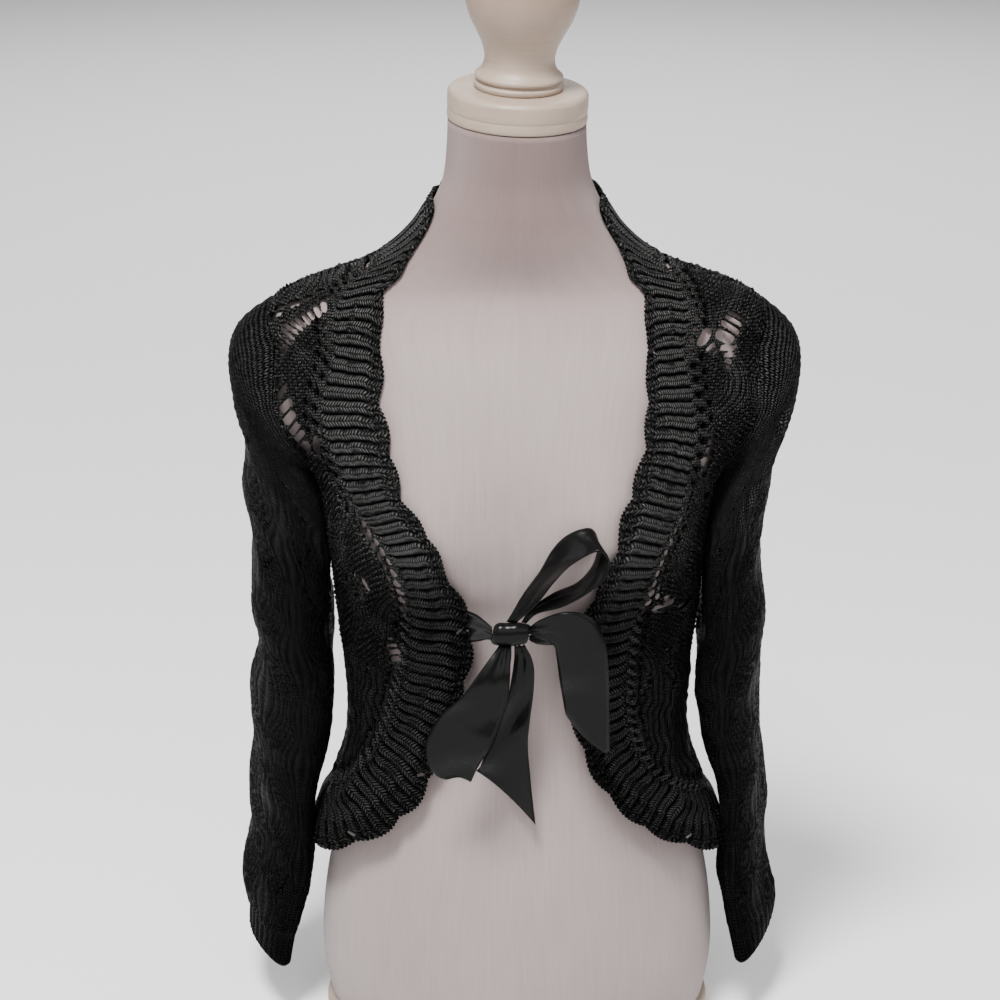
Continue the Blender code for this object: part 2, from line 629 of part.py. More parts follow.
def sleeve_inside(side, table):
    """surface(p, q): p is degrees round the sleeve and q is minus the run down it, in metres."""
    run = sleeve_run(table)
    rings = np.arange(len(table))

    def ring_size(name, at):
        return eased(rings, column(table, SLEEVE_COLUMNS, name), at)

    def ring_point(around, at):
        angle = np.radians(around)
        reach = (1 - np.cos(angle)) / 2
        x = ring_size("outer_x", at) + (ring_size("inner_x", at) - ring_size("outer_x", at)) * reach
        z = ring_size("outer_z", at) + (ring_size("inner_z", at) - ring_size("outer_z", at)) * reach
        x = x + ring_size("belly_mm", at) * 0.001 * np.abs(np.sin(angle)) ** 1.5
        y = ring_size("mid_y", at) - ring_size("half_deep", at) * np.sin(angle)
        return np.stack([x, y, z], -1)

    def armhole_point(around):
        shift = 0.0036 + 1.3 * WALL * (1 - np.cos(np.radians(around)))
        point = cloth_inside(*armhole(around))
        return point + np.stack([shift, 0 * shift, 0 * shift], -1)

    def surface(p, q):
        p, q = np.broadcast_arrays(np.asarray(p, float), np.asarray(q, float))
        around = -side * p
        at = np.interp(-q, run, rings)
        keep = np.clip(1 - at / 1.6, 0, 1) ** 2
        shift = armhole_point(around) - ring_point(around, 0 * at)
        point = ring_point(around, at) + shift * keep[..., None]
        return point * np.array([side, 1, 1])

    return surface, run


def sleeve_half(name, side, table, front, material):
    surface, run = sleeve_inside(side, table)
    first, last = (SLEEVE_GAP, 180 - SLEEVE_GAP) if front else (180 + SLEEVE_GAP, 360 - SLEEVE_GAP)
    around = np.linspace(first, last, ARMHOLE_STATIONS + 1)
    down = np.linspace(0, run[-1], 22)[1:-1]
    loop = [(a, 0.0) for a in around] + [(last, d) for d in down]
    loop += [(a, run[-1]) for a in around[::-1]] + [(first, d) for d in down[::-1]]
    outline = [(-side * a * SLEEVE_DEGREE, -d) for a, d in loop]

    def place(u, v, lift):
        p = u / SLEEVE_DEGREE
        return surface(p, v) + outward(surface, p, v, 1.0, 0.001) * lift[..., None]

    cut_cloth(name, outline, place, 1, 0.0245, material)


# ---------------------------------------------------------------- satin bow
RIBBON_THICK = 0.0012
# Each strip's two edges, point by point from the knot: x, y, z of one edge, then of the other.
BOW = {
    "strand_right": (
        (-0.0373, -0.1135, 0.3925, -0.0342, -0.1108, 0.3645),
        (-0.0305, -0.1220, 0.3929, -0.0291, -0.1205, 0.3695),
        (-0.0243, -0.1290, 0.3905, -0.0237, -0.1280, 0.3735),
        (-0.0192, -0.1350, 0.3870, -0.0192, -0.1350, 0.3755),
    ),
    "strand_left": (
        (0.0093, -0.1352, 0.3800, 0.0093, -0.1352, 0.3755),
        (0.0170, -0.1300, 0.3850, 0.0170, -0.1290, 0.3700),
        (0.0300, -0.1200, 0.3860, 0.0300, -0.1185, 0.3655),
        (0.0454, -0.1100, 0.3850, 0.0419, -0.1092, 0.3640),
    ),
    "loop_upper": (
        (-0.0010, -0.1370, 0.3905, -0.0082, -0.1345, 0.3905),
        (0.0143, -0.1460, 0.4091, 0.0038, -0.1280, 0.4075),
        (0.0292, -0.1500, 0.4272, 0.0144, -0.1250, 0.4257),
        (0.0395, -0.1520, 0.4437, 0.0257, -0.1240, 0.4437),
        (0.0513, -0.1520, 0.4539, 0.0399, -0.1240, 0.4564),
        (0.0632, -0.1510, 0.4567, 0.0550, -0.1240, 0.4620),
        (0.0686, -0.1500, 0.4454, 0.0611, -0.1240, 0.4517),
        (0.0665, -0.1490, 0.4293, 0.0559, -0.1250, 0.4353),
        (0.0547, -0.1480, 0.4178, 0.0454, -0.1270, 0.4216),
        (0.0338, -0.1460, 0.4075, 0.0272, -0.1300, 0.4114),
        (0.0158, -0.1420, 0.3993, 0.0098, -0.1340, 0.4000),
        (0.0072, -0.1375, 0.3903, 0.0034, -0.1352, 0.3905),
    ),
    "tail_right": (
        (0.0093, -0.1385, 0.3878, 0.0093, -0.1385, 0.3828),
        (0.0180, -0.1455, 0.3970, 0.0180, -0.1440, 0.3800),
        (0.0323, -0.1500, 0.4042, 0.0272, -0.1450, 0.3751),
        (0.0472, -0.1510, 0.4038, 0.0295, -0.1450, 0.3678),
        (0.0601, -0.1490, 0.3942, 0.0311, -0.1430, 0.3565),
        (0.0672, -0.1460, 0.3755, 0.0327, -0.1400, 0.3432),
        (0.0699, -0.1420, 0.3464, 0.0344, -0.1360, 0.3301),
        (0.0704, -0.1370, 0.3133, 0.0368, -0.1320, 0.3186),
        (0.0717, -0.1310, 0.2801, 0.0384, -0.1290, 0.3100),
    ),
    "loop_lower": (
        (-0.0135, -0.1362, 0.3725, -0.0052, -0.1362, 0.3724),
        (-0.0257, -0.1470, 0.3581, -0.0053, -0.1460, 0.3512),
        (-0.0409, -0.1520, 0.3390, -0.0076, -0.1490, 0.3280),
        (-0.0577, -0.1530, 0.3214, -0.0152, -0.1490, 0.3059),
        (-0.0685, -0.1510, 0.3009, -0.0237, -0.1470, 0.2877),
        (-0.0674, -0.1460, 0.2782, -0.0307, -0.1420, 0.2715),
        (-0.0578, -0.1390, 0.2626, -0.0355, -0.1360, 0.2597),
        (-0.0502, -0.1320, 0.2629, -0.0317, -0.1300, 0.2688),
        (-0.0424, -0.1280, 0.2871, -0.0231, -0.1270, 0.2909),
        (-0.0300, -0.1270, 0.3199, -0.0131, -0.1270, 0.3224),
        (-0.0183, -0.1290, 0.3511, -0.0053, -0.1290, 0.3527),
        (-0.0120, -0.1338, 0.3722, -0.0040, -0.1338, 0.3722),
    ),
    "tail_left": (
        (-0.0020, -0.1355, 0.3720, 0.0062, -0.1355, 0.3722),
        (-0.0025, -0.1310, 0.3550, 0.0125, -0.1310, 0.3560),
        (-0.0077, -0.1260, 0.3236, 0.0130, -0.1270, 0.3323),
        (-0.0162, -0.1210, 0.2926, 0.0100, -0.1240, 0.3063),
        (-0.0256, -0.1180, 0.2729, 0.0085, -0.1210, 0.2817),
        (-0.0296, -0.1160, 0.2627, 0.0109, -0.1180, 0.2493),
        (-0.0320, -0.1150, 0.2589, 0.0149, -0.1140, 0.2143),
    ),
}


def ribbon(name, rows, material):
    """A flat strip between two edges, given its thickness both ways from the middle."""
    rows = np.array(rows)
    at = np.linspace(0, len(rows) - 1, 2 * len(rows) - 1)
    edges = np.stack([eased(np.arange(len(rows)), rows[:, i], at) for i in range(6)], -1)
    one, other = edges[:, :3], edges[:, 3:]
    along = np.gradient((one + other) / 2, axis=0)
    normal = np.cross(other - one, along)
    normal *= RIBBON_THICK / 2 / np.linalg.norm(normal, axis=1, keepdims=True)
    rings = np.stack([one + normal, other + normal, other - normal, one - normal], 1)
    faces = [[3, 2, 1, 0], [4 * len(at) - 4 + i for i in range(4)]]
    for i in range(len(at) - 1):
        for j in range(4):
            k = (j + 1) % 4
            faces.append([4 * i + j, 4 * i + k, 4 * i + 4 + k, 4 * i + 4 + j])
    return solid(name, rings.reshape(-1, 3), faces, material)


def knot(name, material):
    """The bow's knot: rounded, pinched at both sides and wrapped round the middle."""
    profile = ((0.6, 0.75), (0.85, 0.95), (1.0, 1.0), (0.85, 0.95), (0.6, 0.75))
    x = np.array((-0.0185, -0.0135, -0.0048, 0.0040, 0.0088))
    points, faces, count = [], [], 12
    for (deep, tall), middle in zip(profile, x):
        for i in range(count):
            angle = 2 * math.pi * i / count
            y = -0.1355 + 0.0068 * deep * math.cos(angle)
            z = 0.3812 + 0.0088 * tall * math.sin(angle)
            points.append((middle, y, z))
    for i in range(len(profile) - 1):
        for j in range(count):
            k = (j + 1) % count
            faces.append([i * count + j, i * count + k, (i + 1) * count + k, (i + 1) * count + j])
    faces += [list(range(count))[::-1], list(range(4 * count, 5 * count))]
    return solid(name, points, faces, material)


# ---------------------------------------------------------------- dress form
FORM_LEVELS = (
    (0.0153, 0.05, 0.10, 0.15, 0.20, 0.235, 0.262, 0.29, 0.32, 0.35, 0.375, 0.40, 0.42, 0.44, 0.46)
    + (0.48, 0.50, 0.52, 0.54, 0.56, 0.578, 0.592, 0.601, 0.608, 0.614, 0.620, 0.627, 0.635, 0.643)
    + (0.652, 0.662, 0.672, 0.684, 0.697, 0.712, 0.730, 0.7517)
)
FORM_SIDES = 28
CAP_PROFILE = (
    (0, 0.0242), (0.0495, 0.0242), (0.0523, 0.0232), (0.0534, 0.0212), (0.0537, 0.0030),
    (0.0530, 0.0003), (0, 0.0003),
)
FINIAL_PROFILE = (
    (0, 0.1390), (0.013, 0.1372), (0.0245, 0.1312), (0.0345, 0.1212), (0.0410, 0.1088),
    (0.0432, 0.0965), (0.0412, 0.0842), (0.0355, 0.0708), (0.0295, 0.0590), (0.0268, 0.0490),
    (0.0275, 0.0418), (0.0305, 0.0378), (0.0330, 0.0350), (0.0335, 0.0325), (0.0318, 0.0303),
    (0.0340, 0.0285), (0.0340, 0.0262), (0.0330, 0.0245), (0, 0.0245),
)


def dress_form(name, material):
    turns = np.arange(FORM_SIDES) * 360 / FORM_SIDES
    points = np.concatenate([form_point(turns, level) for level in FORM_LEVELS])
    faces = [list(range(FORM_SIDES))]
    faces.append([len(points) - 1 - i for i in range(FORM_SIDES)])
    for i in range(len(FORM_LEVELS) - 1):
        for j in range(FORM_SIDES):
            k = (j + 1) % FORM_SIDES
            a, b = i * FORM_SIDES, (i + 1) * FORM_SIDES
            faces.append([a + j, a + k, b + k, b + j])
    return solid(name, points, faces, material)


def base_board(name, material):
    """The board under the hips: their own section a little larger, with its rims eased."""
    turns = np.arange(FORM_SIDES) * 360 / FORM_SIDES
    points = []
    for grow, height in ((1.01, 0.0), (1.03, 0.002), (1.03, 0.013), (1.01, BOARD_THICK)):
        ring = form_point(turns, FORM_LEVELS[0]) * np.array([grow, grow, 0])
        points.append(ring + np.array([0, 0, height]))
    faces = [list(range(FORM_SIDES)), [4 * FORM_SIDES - 1 - i for i in range(FORM_SIDES)]]
    for i in range(3):
        for j in range(FORM_SIDES):
            k = (j + 1) % FORM_SIDES
            a, b = i * FORM_SIDES, (i + 1) * FORM_SIDES
            faces.append([a + j, a + k, b + k, b + j])
    return solid(name, np.concatenate(points), faces, material)


def turned(name, profile, steps, material):
    """A turned piece, from its profile top to bottom, set on the leaning neck."""
    mesh = bpy.data.meshes.new(name)
    sides = [(i, i + 1) for i in range(len(profile) - 1)]
    mesh.from_pydata([(radius, 0, height) for radius, height in profile], sides, [])
    mesh.materials.append(material)
    obj = bpy.data.objects.new(name, mesh)
    collection.objects.link(obj)
    screw = obj.modifiers.new("Turn", "SCREW")
    screw.steps = screw.render_steps = steps
    screw.use_merge_vertices = True
    screw.merge_threshold = 0.00005
    screw.use_smooth_shade = True
    obj.location = (0, form_size("middle_y", NECK_TOP), NECK_TOP)
    obj.rotation_euler = (NECK_LEAN, NECK_TIP, 0)
    return obj


# ---------------------------------------------------------------- materials
def make_material(name, colour, roughness):
    material = bpy.data.materials.new(name)
    material.use_nodes = True
    shader = material.node_tree.nodes["Principled BSDF"]
    shader.inputs["Base Color"].default_value = (*colour, 1)
    shader.inputs["Roughness"].default_value = roughness
    return material


for old in list(bpy.data.objects):
    bpy.data.objects.remove(old)
collection = bpy.data.collections.new("cardigan")
bpy.context.scene.collection.children.link(collection)

yarn = make_material("black_yarn", (0.012, 0.012, 0.013), 0.7)
satin = make_material("black_satin", (0.014, 0.014, 0.015), 0.3)
jersey = make_material("pale_jersey", (0.62, 0.56, 0.55), 0.85)
paint = make_material("cream_paint", (0.70, 0.62, 0.53), 0.45)

dress_form("form_torso", jersey)
base_board("form_base_board", paint)
turned("form_neck_cap", CAP_PROFILE, 32, paint)
turned("form_finial", FINIAL_PROFILE, 20, paint)

back_panel("back", yarn)
front_panel("front_right", -1, BORDER_RIGHT, yarn)
front_panel("front_left", 1, BORDER_LEFT, yarn)
for half, front_side in (("front", True), ("back", False)):
    sleeve_half("sleeve_right_" + half, -1, SLEEVE_RIGHT, front_side, yarn)
    sleeve_half("sleeve_left_" + half, 1, SLEEVE_LEFT, front_side, yarn)
border("border_front_right", BORDER_RIGHT, RIBS_FRONT, yarn)
border("border_front_left", BORDER_LEFT, RIBS_FRONT, yarn)
border("border_neck", BORDER_NECK, RIBS_NECK, yarn)
border("border_hem", BORDER_HEM, RIBS_HEM, yarn)
knot("bow_knot", satin)
for strip, edges in BOW.items():
    ribbon("bow_" + strip, edges, satin)
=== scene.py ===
import math

import bpy
import numpy as np
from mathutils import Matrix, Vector


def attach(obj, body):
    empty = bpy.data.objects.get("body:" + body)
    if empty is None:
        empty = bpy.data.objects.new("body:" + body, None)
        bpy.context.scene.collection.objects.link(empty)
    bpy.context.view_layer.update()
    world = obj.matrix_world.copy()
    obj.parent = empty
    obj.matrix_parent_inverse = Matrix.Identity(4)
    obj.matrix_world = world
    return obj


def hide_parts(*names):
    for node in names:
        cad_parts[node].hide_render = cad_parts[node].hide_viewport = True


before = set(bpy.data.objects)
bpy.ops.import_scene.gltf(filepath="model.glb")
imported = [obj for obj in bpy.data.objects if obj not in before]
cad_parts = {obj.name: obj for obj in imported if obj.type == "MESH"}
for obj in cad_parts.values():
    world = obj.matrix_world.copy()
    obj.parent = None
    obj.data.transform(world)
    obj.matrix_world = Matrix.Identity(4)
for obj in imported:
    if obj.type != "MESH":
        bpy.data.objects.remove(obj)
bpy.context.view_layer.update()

# Metres, +Z up, the form facing -Y. A place on the body is a turn, in degrees round from centre front
# and + towards +X, and a height. A place in the lace is u across and v up, in metres of cloth.
print("frame loaded:", len(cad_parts), "nodes")

wall = 0.0022  # thickness of the knitted cloth
shoulderHeight = 0.598  # the form's widest level at the shoulders
neckTop = 0.752
neck = {"bend": 0.702, "lean": math.radians(6), "tip": math.radians(2.5)}  # lean to the front, tip to +X

# the form's level sections: height, half width, depth in front and behind, and the middle's y
formTable = np.array((
    (0.0153, 0.156, 0.110, 0.116, 0.000), (0.050, 0.162, 0.115, 0.122, 0.000),
    (0.100, 0.161, 0.115, 0.123, 0.000), (0.150, 0.153, 0.111, 0.116, 0.000),
    (0.200, 0.140, 0.103, 0.103, 0.000), (0.245, 0.129, 0.096, 0.093, 0.000),
    (0.275, 0.127, 0.094, 0.091, 0.000), (0.310, 0.130, 0.096, 0.095, 0.000),
    (0.360, 0.137, 0.101, 0.102, 0.000), (0.410, 0.143, 0.106, 0.106, 0.000),
    (0.460, 0.148, 0.108, 0.108, 0.001), (0.500, 0.152, 0.104, 0.108, 0.002),
    (0.540, 0.163, 0.094, 0.104, 0.004), (0.575, 0.180, 0.078, 0.096, 0.007),
    (0.598, 0.190, 0.064, 0.084, 0.009), (0.610, 0.181, 0.056, 0.074, 0.010),
    (0.620, 0.160, 0.052, 0.069, 0.011), (0.632, 0.124, 0.053, 0.067, 0.012),
    (0.645, 0.100, 0.056, 0.066, 0.012), (0.660, 0.083, 0.059, 0.066, 0.011),
    (0.680, 0.069, 0.059, 0.062, 0.008), (0.700, 0.0590, 0.056, 0.057, 0.004),
    (0.730, 0.0540, 0.054, 0.055, -0.002), (0.752, 0.0530, 0.053, 0.053, -0.006),
))
bust = {"rise": 0.030, "apart": 0.072, "height": 0.447, "wide": 0.044, "above": 0.075, "below": 0.045}
# how far the cloth's inside stands off the form, in millimetres: height, in front, at the side, behind
easeTable = np.array((
    (0.150, 12.0, 13.0, 12.0), (0.200, 11.0, 12.5, 10.0), (0.245, 12.0, 9.0, 9.0), (0.275, 12.5, 8.5, 9.5),
    (0.310, 12.0, 7.5, 9.0), (0.360, 10.0, 5.5, 7.0), (0.410, 6.0, 4.5, 5.0), (0.460, 3.0, 4.0, 4.0),
    (0.500, 2.6, 3.6, 4.0), (0.560, 2.2, 3.2, 3.0), (0.598, 1.8, 3.4, 2.2), (0.612, 1.7, 2.7, 2.0),
    (0.635, 1.6, 2.5, 2.1), (0.660, 1.6, 1.8, 1.8), (0.752, 1.6, 1.6, 1.6),
))
# where the cloth runs straight out from the chest to the armhole
web = {"reach": 0.036, "height": 0.537, "above": 0.034, "below": 0.046, "turn": 26.0}
# creases: turn and height of one end, of the other, width and rise in millimetres
creases = (
    (-62, 0.215, -57, 0.300, 8, 3.0), (-76, 0.205, -71, 0.325, 9, 3.4), (-50, 0.225, -50, 0.275, 6.5, 1.8),
    (-72, 0.355, -40, 0.412, 10, 1.8), (-77, 0.480, -80, 0.560, 8, 2.6), (-69, 0.425, -58, 0.478, 9, 1.5),
    (57, 0.205, 62, 0.305, 9, 3.2), (73, 0.215, 79, 0.310, 8, 2.8), (46, 0.230, 45, 0.285, 7, 2.2),
    (76, 0.350, 44, 0.398, 10, 2.0), (78, 0.478, 81, 0.565, 8, 2.8), (64, 0.420, 55, 0.466, 8, 1.4),
    (112, 0.200, 108, 0.330, 9, 3.4), (133, 0.195, 136, 0.300, 8, 2.8), (158, 0.205, 161, 0.320, 10, 3.0),
    (184, 0.195, 180, 0.290, 8, 2.2), (203, 0.210, 199, 0.335, 9, 3.2), (226, 0.195, 224, 0.305, 9, 2.7),
    (251, 0.205, 254, 0.325, 8, 3.3), (104, 0.455, 118, 0.520, 9, 2.0), (255, 0.450, 241, 0.515, 9, 2.2),
    (150, 0.560, 205, 0.548, 12, 1.6), (128, 0.395, 150, 0.372, 9, 1.5), (232, 0.400, 213, 0.380, 9, 1.4),
)


def eased(stations, values, at):
    # smooth curve through a table's rows: cubic pieces whose slopes come from the neighbouring rows
    x = np.asarray(stations, float)
    y = np.asarray(values, float)
    slope = np.gradient(y, x)
    at = np.clip(np.asarray(at, float), x[0], x[-1])
    i = np.clip(np.searchsorted(x, at) - 1, 0, len(x) - 2)
    step = x[i + 1] - x[i]
    t = (at - x[i]) / step
    rise = t * t * (3 - 2 * t)
    leadIn = (t - 1) ** 2 * t * step * slope[i]
    leadOut = t * t * (t - 1) * step * slope[i + 1]
    return y[i] * (1 - rise) + y[i + 1] * rise + leadIn + leadOut


def softStep(x):
    # 0 below 0, 1 above 1, and 3 x squared less 2 x cubed between
    x = np.clip(x, 0, 1)
    return x * x * (3 - 2 * x)


def bell(x):
    # 1 at 0, falling off on both sides as e to the power of minus x squared
    return np.exp(-(x**2))


def wave(x):
    # from 1 at every whole number to 0 midway between
    return 0.5 + 0.5 * np.cos(2 * np.pi * x)


def pairOf(first, second):
    # two numbers or arrays as two arrays of one shape
    return np.broadcast_arrays(np.asarray(first, float), np.asarray(second, float))


def runAlong(points):
    # metres from the first point along the straight lines between them
    return np.concatenate([[0], np.cumsum(np.linalg.norm(np.diff(points, axis=0), axis=1))])


def formSize(name, height):
    columns = ("height", "halfWidth", "front", "back", "middleY")
    return eased(formTable[:, 0], formTable[:, columns.index(name)], height)


def formPoint(turn, height):
    # an ellipse at each height, with its own depth behind, plus two bells for the bust; the neck tilts
    turn, height = pairOf(turn, height)
    angle = np.radians(turn)
    x = formSize("halfWidth", height) * np.sin(angle)
    ahead = np.cos(angle)
    depth = np.where(ahead > 0, formSize("front", height), formSize("back", height))
    spread = np.where(height > bust["height"], bust["above"], bust["below"])
    side = ((np.abs(x) - bust["apart"]) / bust["wide"]) ** 2
    rise = bust["rise"] * np.exp(-side - ((height - bust["height"]) / spread) ** 2)
    setBack = -depth * ahead - rise * np.clip(ahead, 0, 1) ** 0.5
    blend = softStep((height - neck["bend"]) / (neckTop - neck["bend"]))
    lower = (math.tan(neck["lean"]) * setBack - math.tan(neck["tip"]) * x) * blend
    return np.stack([x, formSize("middleY", height) + setBack, height + lower], -1)


def outward(surface, p, q, dp, dq):
    # unit normals: small steps either way along p and along q, crossed
    across = surface(p + dp, q) - surface(p - dp, q)
    along = surface(p, q + dq) - surface(p, q - dq)
    normal = np.cross(across, along)
    return normal / np.maximum(np.linalg.norm(normal, axis=-1, keepdims=True), 1e-12)


def formNormal(turn, height):
    return outward(formPoint, turn, height, 0.5, 0.0008)


def turnWithin(turn):
    # the same turn between -180 and 180
    return (np.asarray(turn, float) + 180) % 360 - 180


def nearLine(x, y, x1, y1, x2, y2):
    # distance from each point to the straight line between two ends
    dx, dy = x2 - x1, y2 - y1
    t = np.clip(((x - x1) * dx + (y - y1) * dy) / max(dx * dx + dy * dy, 1e-12), 0, 1)
    return np.hypot(x - x1 - t * dx, y - y1 - t * dy)


lace = {"wide": 0.095, "tall": 0.094, "swing": 0.013, "metresADegree": 0.0023}


def creaseAt(turn, height):
    # each crease is a soft ridge: a bell across its line, measured in metres of cloth
    total = np.zeros(np.shape(turn))
    for turn1, low, turn2, high, wide, rise in creases:
        middle = (turn1 + turn2) / 2
        x = turnWithin(turn - middle) * lace["metresADegree"]
        end1, end2 = (turn1 - middle) * lace["metresADegree"], (turn2 - middle) * lace["metresADegree"]
        far = nearLine(x, height, end1, low, end2, high)
        total = total + rise * 0.001 * bell(far / (wide * 0.001))
    return total


def easeAt(turn, height):
    # blended round the body from the table's three columns, plus the web at the armholes
    ahead = np.cos(np.radians(turn))
    front, side, back = (eased(easeTable[:, 0], easeTable[:, i], height) for i in (1, 2, 3))
    ends = np.where(ahead > 0, front, back)
    standOff = (side + (ends - side) * ahead**2) * 0.001
    spread = np.where(height > web["height"], web["above"], web["below"])
    away = ((np.abs(turnWithin(turn)) - 90) / web["turn"]) ** 2
    return standOff + web["reach"] * np.exp(-away - ((height - web["height"]) / spread) ** 2)


def clothInside(turn, height):
    # the form's surface moved out by the ease and the creases
    turn, height = pairOf(turn, height)
    out = easeAt(turn, height) + creaseAt(turn, height)
    return formPoint(turn, height) + formNormal(turn, height) * out[..., None]


def clothNormal(turn, height):
    return outward(clothInside, turn, height, 0.4, 0.0008)


# the cloth's run up the body, measured 50 degrees from centre front
riseHeights = np.arange(0.14, 0.7525, 0.001)
riseRun = runAlong(formPoint(50.0, riseHeights))


def narrowing(height):
    # 1 up to the shoulders, then the form's width as a share of its width there
    shrink = formSize("halfWidth", height) / formSize("halfWidth", shoulderHeight)
    return np.where(height > shoulderHeight, np.minimum(shrink, 1), 1)


def laceOf(turn, height, middle):
    # u is the turn times a fixed width of cloth, less where the body narrows over the shoulders, and v is
    # the run up
    turn, height = pairOf(turn, height)
    offset = np.radians(turn - middle)
    shrink = narrowing(height)
    bent = np.where(shrink < 1, np.arcsin(np.clip(np.sin(offset) * shrink, -1, 1)), offset)
    u = (np.degrees(bent) + middle) * lace["metresADegree"]
    return np.stack([u, np.interp(height, riseHeights, riseRun)], -1)


def placeOf(u, v, middle):
    # the inverse of laceOf
    height = np.interp(v, riseRun, riseHeights)
    offset = np.radians(u / lace["metresADegree"] - middle)
    shrink = narrowing(height)
    wide = np.arcsin(np.clip(np.sin(offset) / shrink, -1, 1))
    return np.degrees(np.where(shrink < 1, wide, offset)) + middle, height


def ladderU(line, v):
    # ladders run up in waves, every other one mirrored
    return line * lace["wide"] / 2 + lace["swing"] * np.cos(2 * np.pi * v / lace["tall"] + line * np.pi)


def chance(a, b):
    # a fixed pseudo-random number from 0 to 1 for each pair of numbers
    return np.modf(np.abs(np.sin(a * 12.9898 + b * 78.233) * 43758.5453))[0]


def gridFaces(rows, columns, wrap, wrapRows=False):
    # quads between neighbouring rows and columns, joined round across and, with wrapRows, along
    i = np.arange(rows if wrapRows else rows - 1)[:, None]
    j = np.arange(columns if wrap else columns - 1)[None]
    low, high = i * columns, (i + 1) % rows * columns
    k = (j + 1) % columns
    return np.stack([low + j, low + k, high + k, high + j], -1).reshape(-1, 4)


def halved(quads):
    # the two triangles of each quad
    return np.concatenate([quads[:, [0, 1, 2]], quads[:, [0, 2, 3]]])


def faceSizes(points, faces):
    # a vector along each triangle's normal, twice as long as the triangle is large
    corner = points[faces]
    return np.cross(corner[:, 1] - corner[:, 0], corner[:, 2] - corner[:, 0])


def facingOut(points, faces, centre):
    # all faces turned round if, taken together, they look towards the centre, or each to its own centre
    away = points[faces].mean(1) - centre
    return faces[:, ::-1] if (away * faceSizes(points, faces)).sum() < 0 else faces


def meshPiece(name, points, faces, material, cornerUv):
    # whole arrays of points and triangles become a smooth-shaded mesh at the origin. A fourth column is
    # painted shade, 0 to 1, darkest deep in hollows and on the cloth lower down, and becomes an attribute
    mesh = bpy.data.meshes.new(name)
    mesh.vertices.add(len(points))
    mesh.vertices.foreach_set("co", points[:, :3].astype(np.float32).ravel())
    mesh.loops.add(faces.size)
    mesh.loops.foreach_set("vertex_index", faces.astype(np.int32).ravel())
    mesh.polygons.add(len(faces))
    mesh.polygons.foreach_set("loop_start", np.arange(0, faces.size, faces.shape[1], dtype=np.int32))
    mesh.polygons.foreach_set("use_smooth", np.ones(len(faces), bool))
    mesh.update(calc_edges=True)
    layer = mesh.uv_layers.new(name="metres")
    layer.data.foreach_set("uv", cornerUv.astype(np.float32).ravel())
    if points.shape[1] > 3:
        paintedShade = mesh.attributes.new("paintedShade", "FLOAT", "POINT")
        paintedShade.data.foreach_set("value", points[:, 3].astype(np.float32))
    mesh.materials.append(material)
    obj = bpy.data.objects.new(name, mesh)
    bpy.context.scene.collection.objects.link(obj)
    return obj


def clipGrid(p, q, depth):
    # keeps the grid where depth is above 0: points near the line move onto it down the slope, and any other
    # edge across it gets a new point where the depth, taken as straight along the edge, is 0
    dq, dp = np.gradient(depth, q[1, 0] - q[0, 0], p[0, 1] - p[0, 0])
    slope = np.maximum(dp**2 + dq**2, 0.4)
    near = np.abs(depth) < 0.22 * (p[0, 1] - p[0, 0])
    p = np.where(near, p - depth * dp / slope, p).ravel()
    q = np.where(near, q - depth * dq / slope, q).ravel()
    rows, columns = depth.shape
    depth = np.where(near, 0, depth).ravel()
    index = np.arange(rows * columns).reshape(rows, columns)
    a, b, c, d = index[:-1, :-1], index[:-1, 1:], index[1:, 1:], index[1:, :-1]
    flip = (np.add.outer(np.arange(rows - 1), np.arange(columns - 1)) % 2 == 0)[..., None]
    first = np.where(flip, np.stack([a, b, c], -1), np.stack([a, b, d], -1))
    second = np.where(flip, np.stack([a, c, d], -1), np.stack([b, c, d], -1))
    tri = np.concatenate([first.reshape(-1, 3), second.reshape(-1, 3)]).astype(np.int64)
    count = len(p)
    inside, outside = depth[tri] > 0, depth[tri] < 0
    ins, outs = inside.sum(1), outside.sum(1)

    def turned(chosen, marks):
        # each chosen triangle turned so that its marked corner comes first
        start = np.argmax(marks, 1)[:, None]
        return np.take_along_axis(chosen, (start + np.arange(3)) % 3, 1)

    def crossing(i, j):
        # a number for the point where edge i-j meets depth 0
        return np.minimum(i, j) * count + np.maximum(i, j) + count

    kept = [tri[(outs == 0) & (ins > 0)]]
    one = turned(tri[(ins == 1) & (outs == 2)], inside[(ins == 1) & (outs == 2)])
    kept.append(np.stack([one[:, 0], crossing(one[:, 0], one[:, 1]), crossing(one[:, 0], one[:, 2])], 1))
    two = turned(tri[(ins == 2) & (outs == 1)], outside[(ins == 2) & (outs == 1)])
    before, after = crossing(two[:, 0], two[:, 1]), crossing(two[:, 0], two[:, 2])
    kept += [np.stack([before, two[:, 1], two[:, 2]], 1), np.stack([before, two[:, 2], after], 1)]
    mixed = (ins == 1) & (outs == 1)
    on = turned(tri[mixed], ~inside[mixed] & ~outside[mixed])
    fresh = crossing(on[:, 1], on[:, 2])
    firstIn = depth[on[:, 1]] > 0
    second, third = np.where(firstIn, on[:, 1], fresh), np.where(firstIn, fresh, on[:, 2])
    kept.append(np.stack([on[:, 0], second, third], 1))
    tri = np.concatenate(kept)
    new = tri >= count
    keys, order = np.unique(tri[new] - count, return_inverse=True)
    tri[new] = count + order
    i, j = keys // count, keys % count
    t = depth[i] / (depth[i] - depth[j])
    p = np.concatenate([p, p[i] + (p[j] - p[i]) * t])
    q = np.concatenate([q, q[i] + (q[j] - q[i]) * t])
    depth = np.concatenate([depth, np.zeros(len(keys))])
    used, tri = np.unique(tri, return_inverse=True)
    return p[used], q[used], depth[used], tri.reshape(-1, 3)


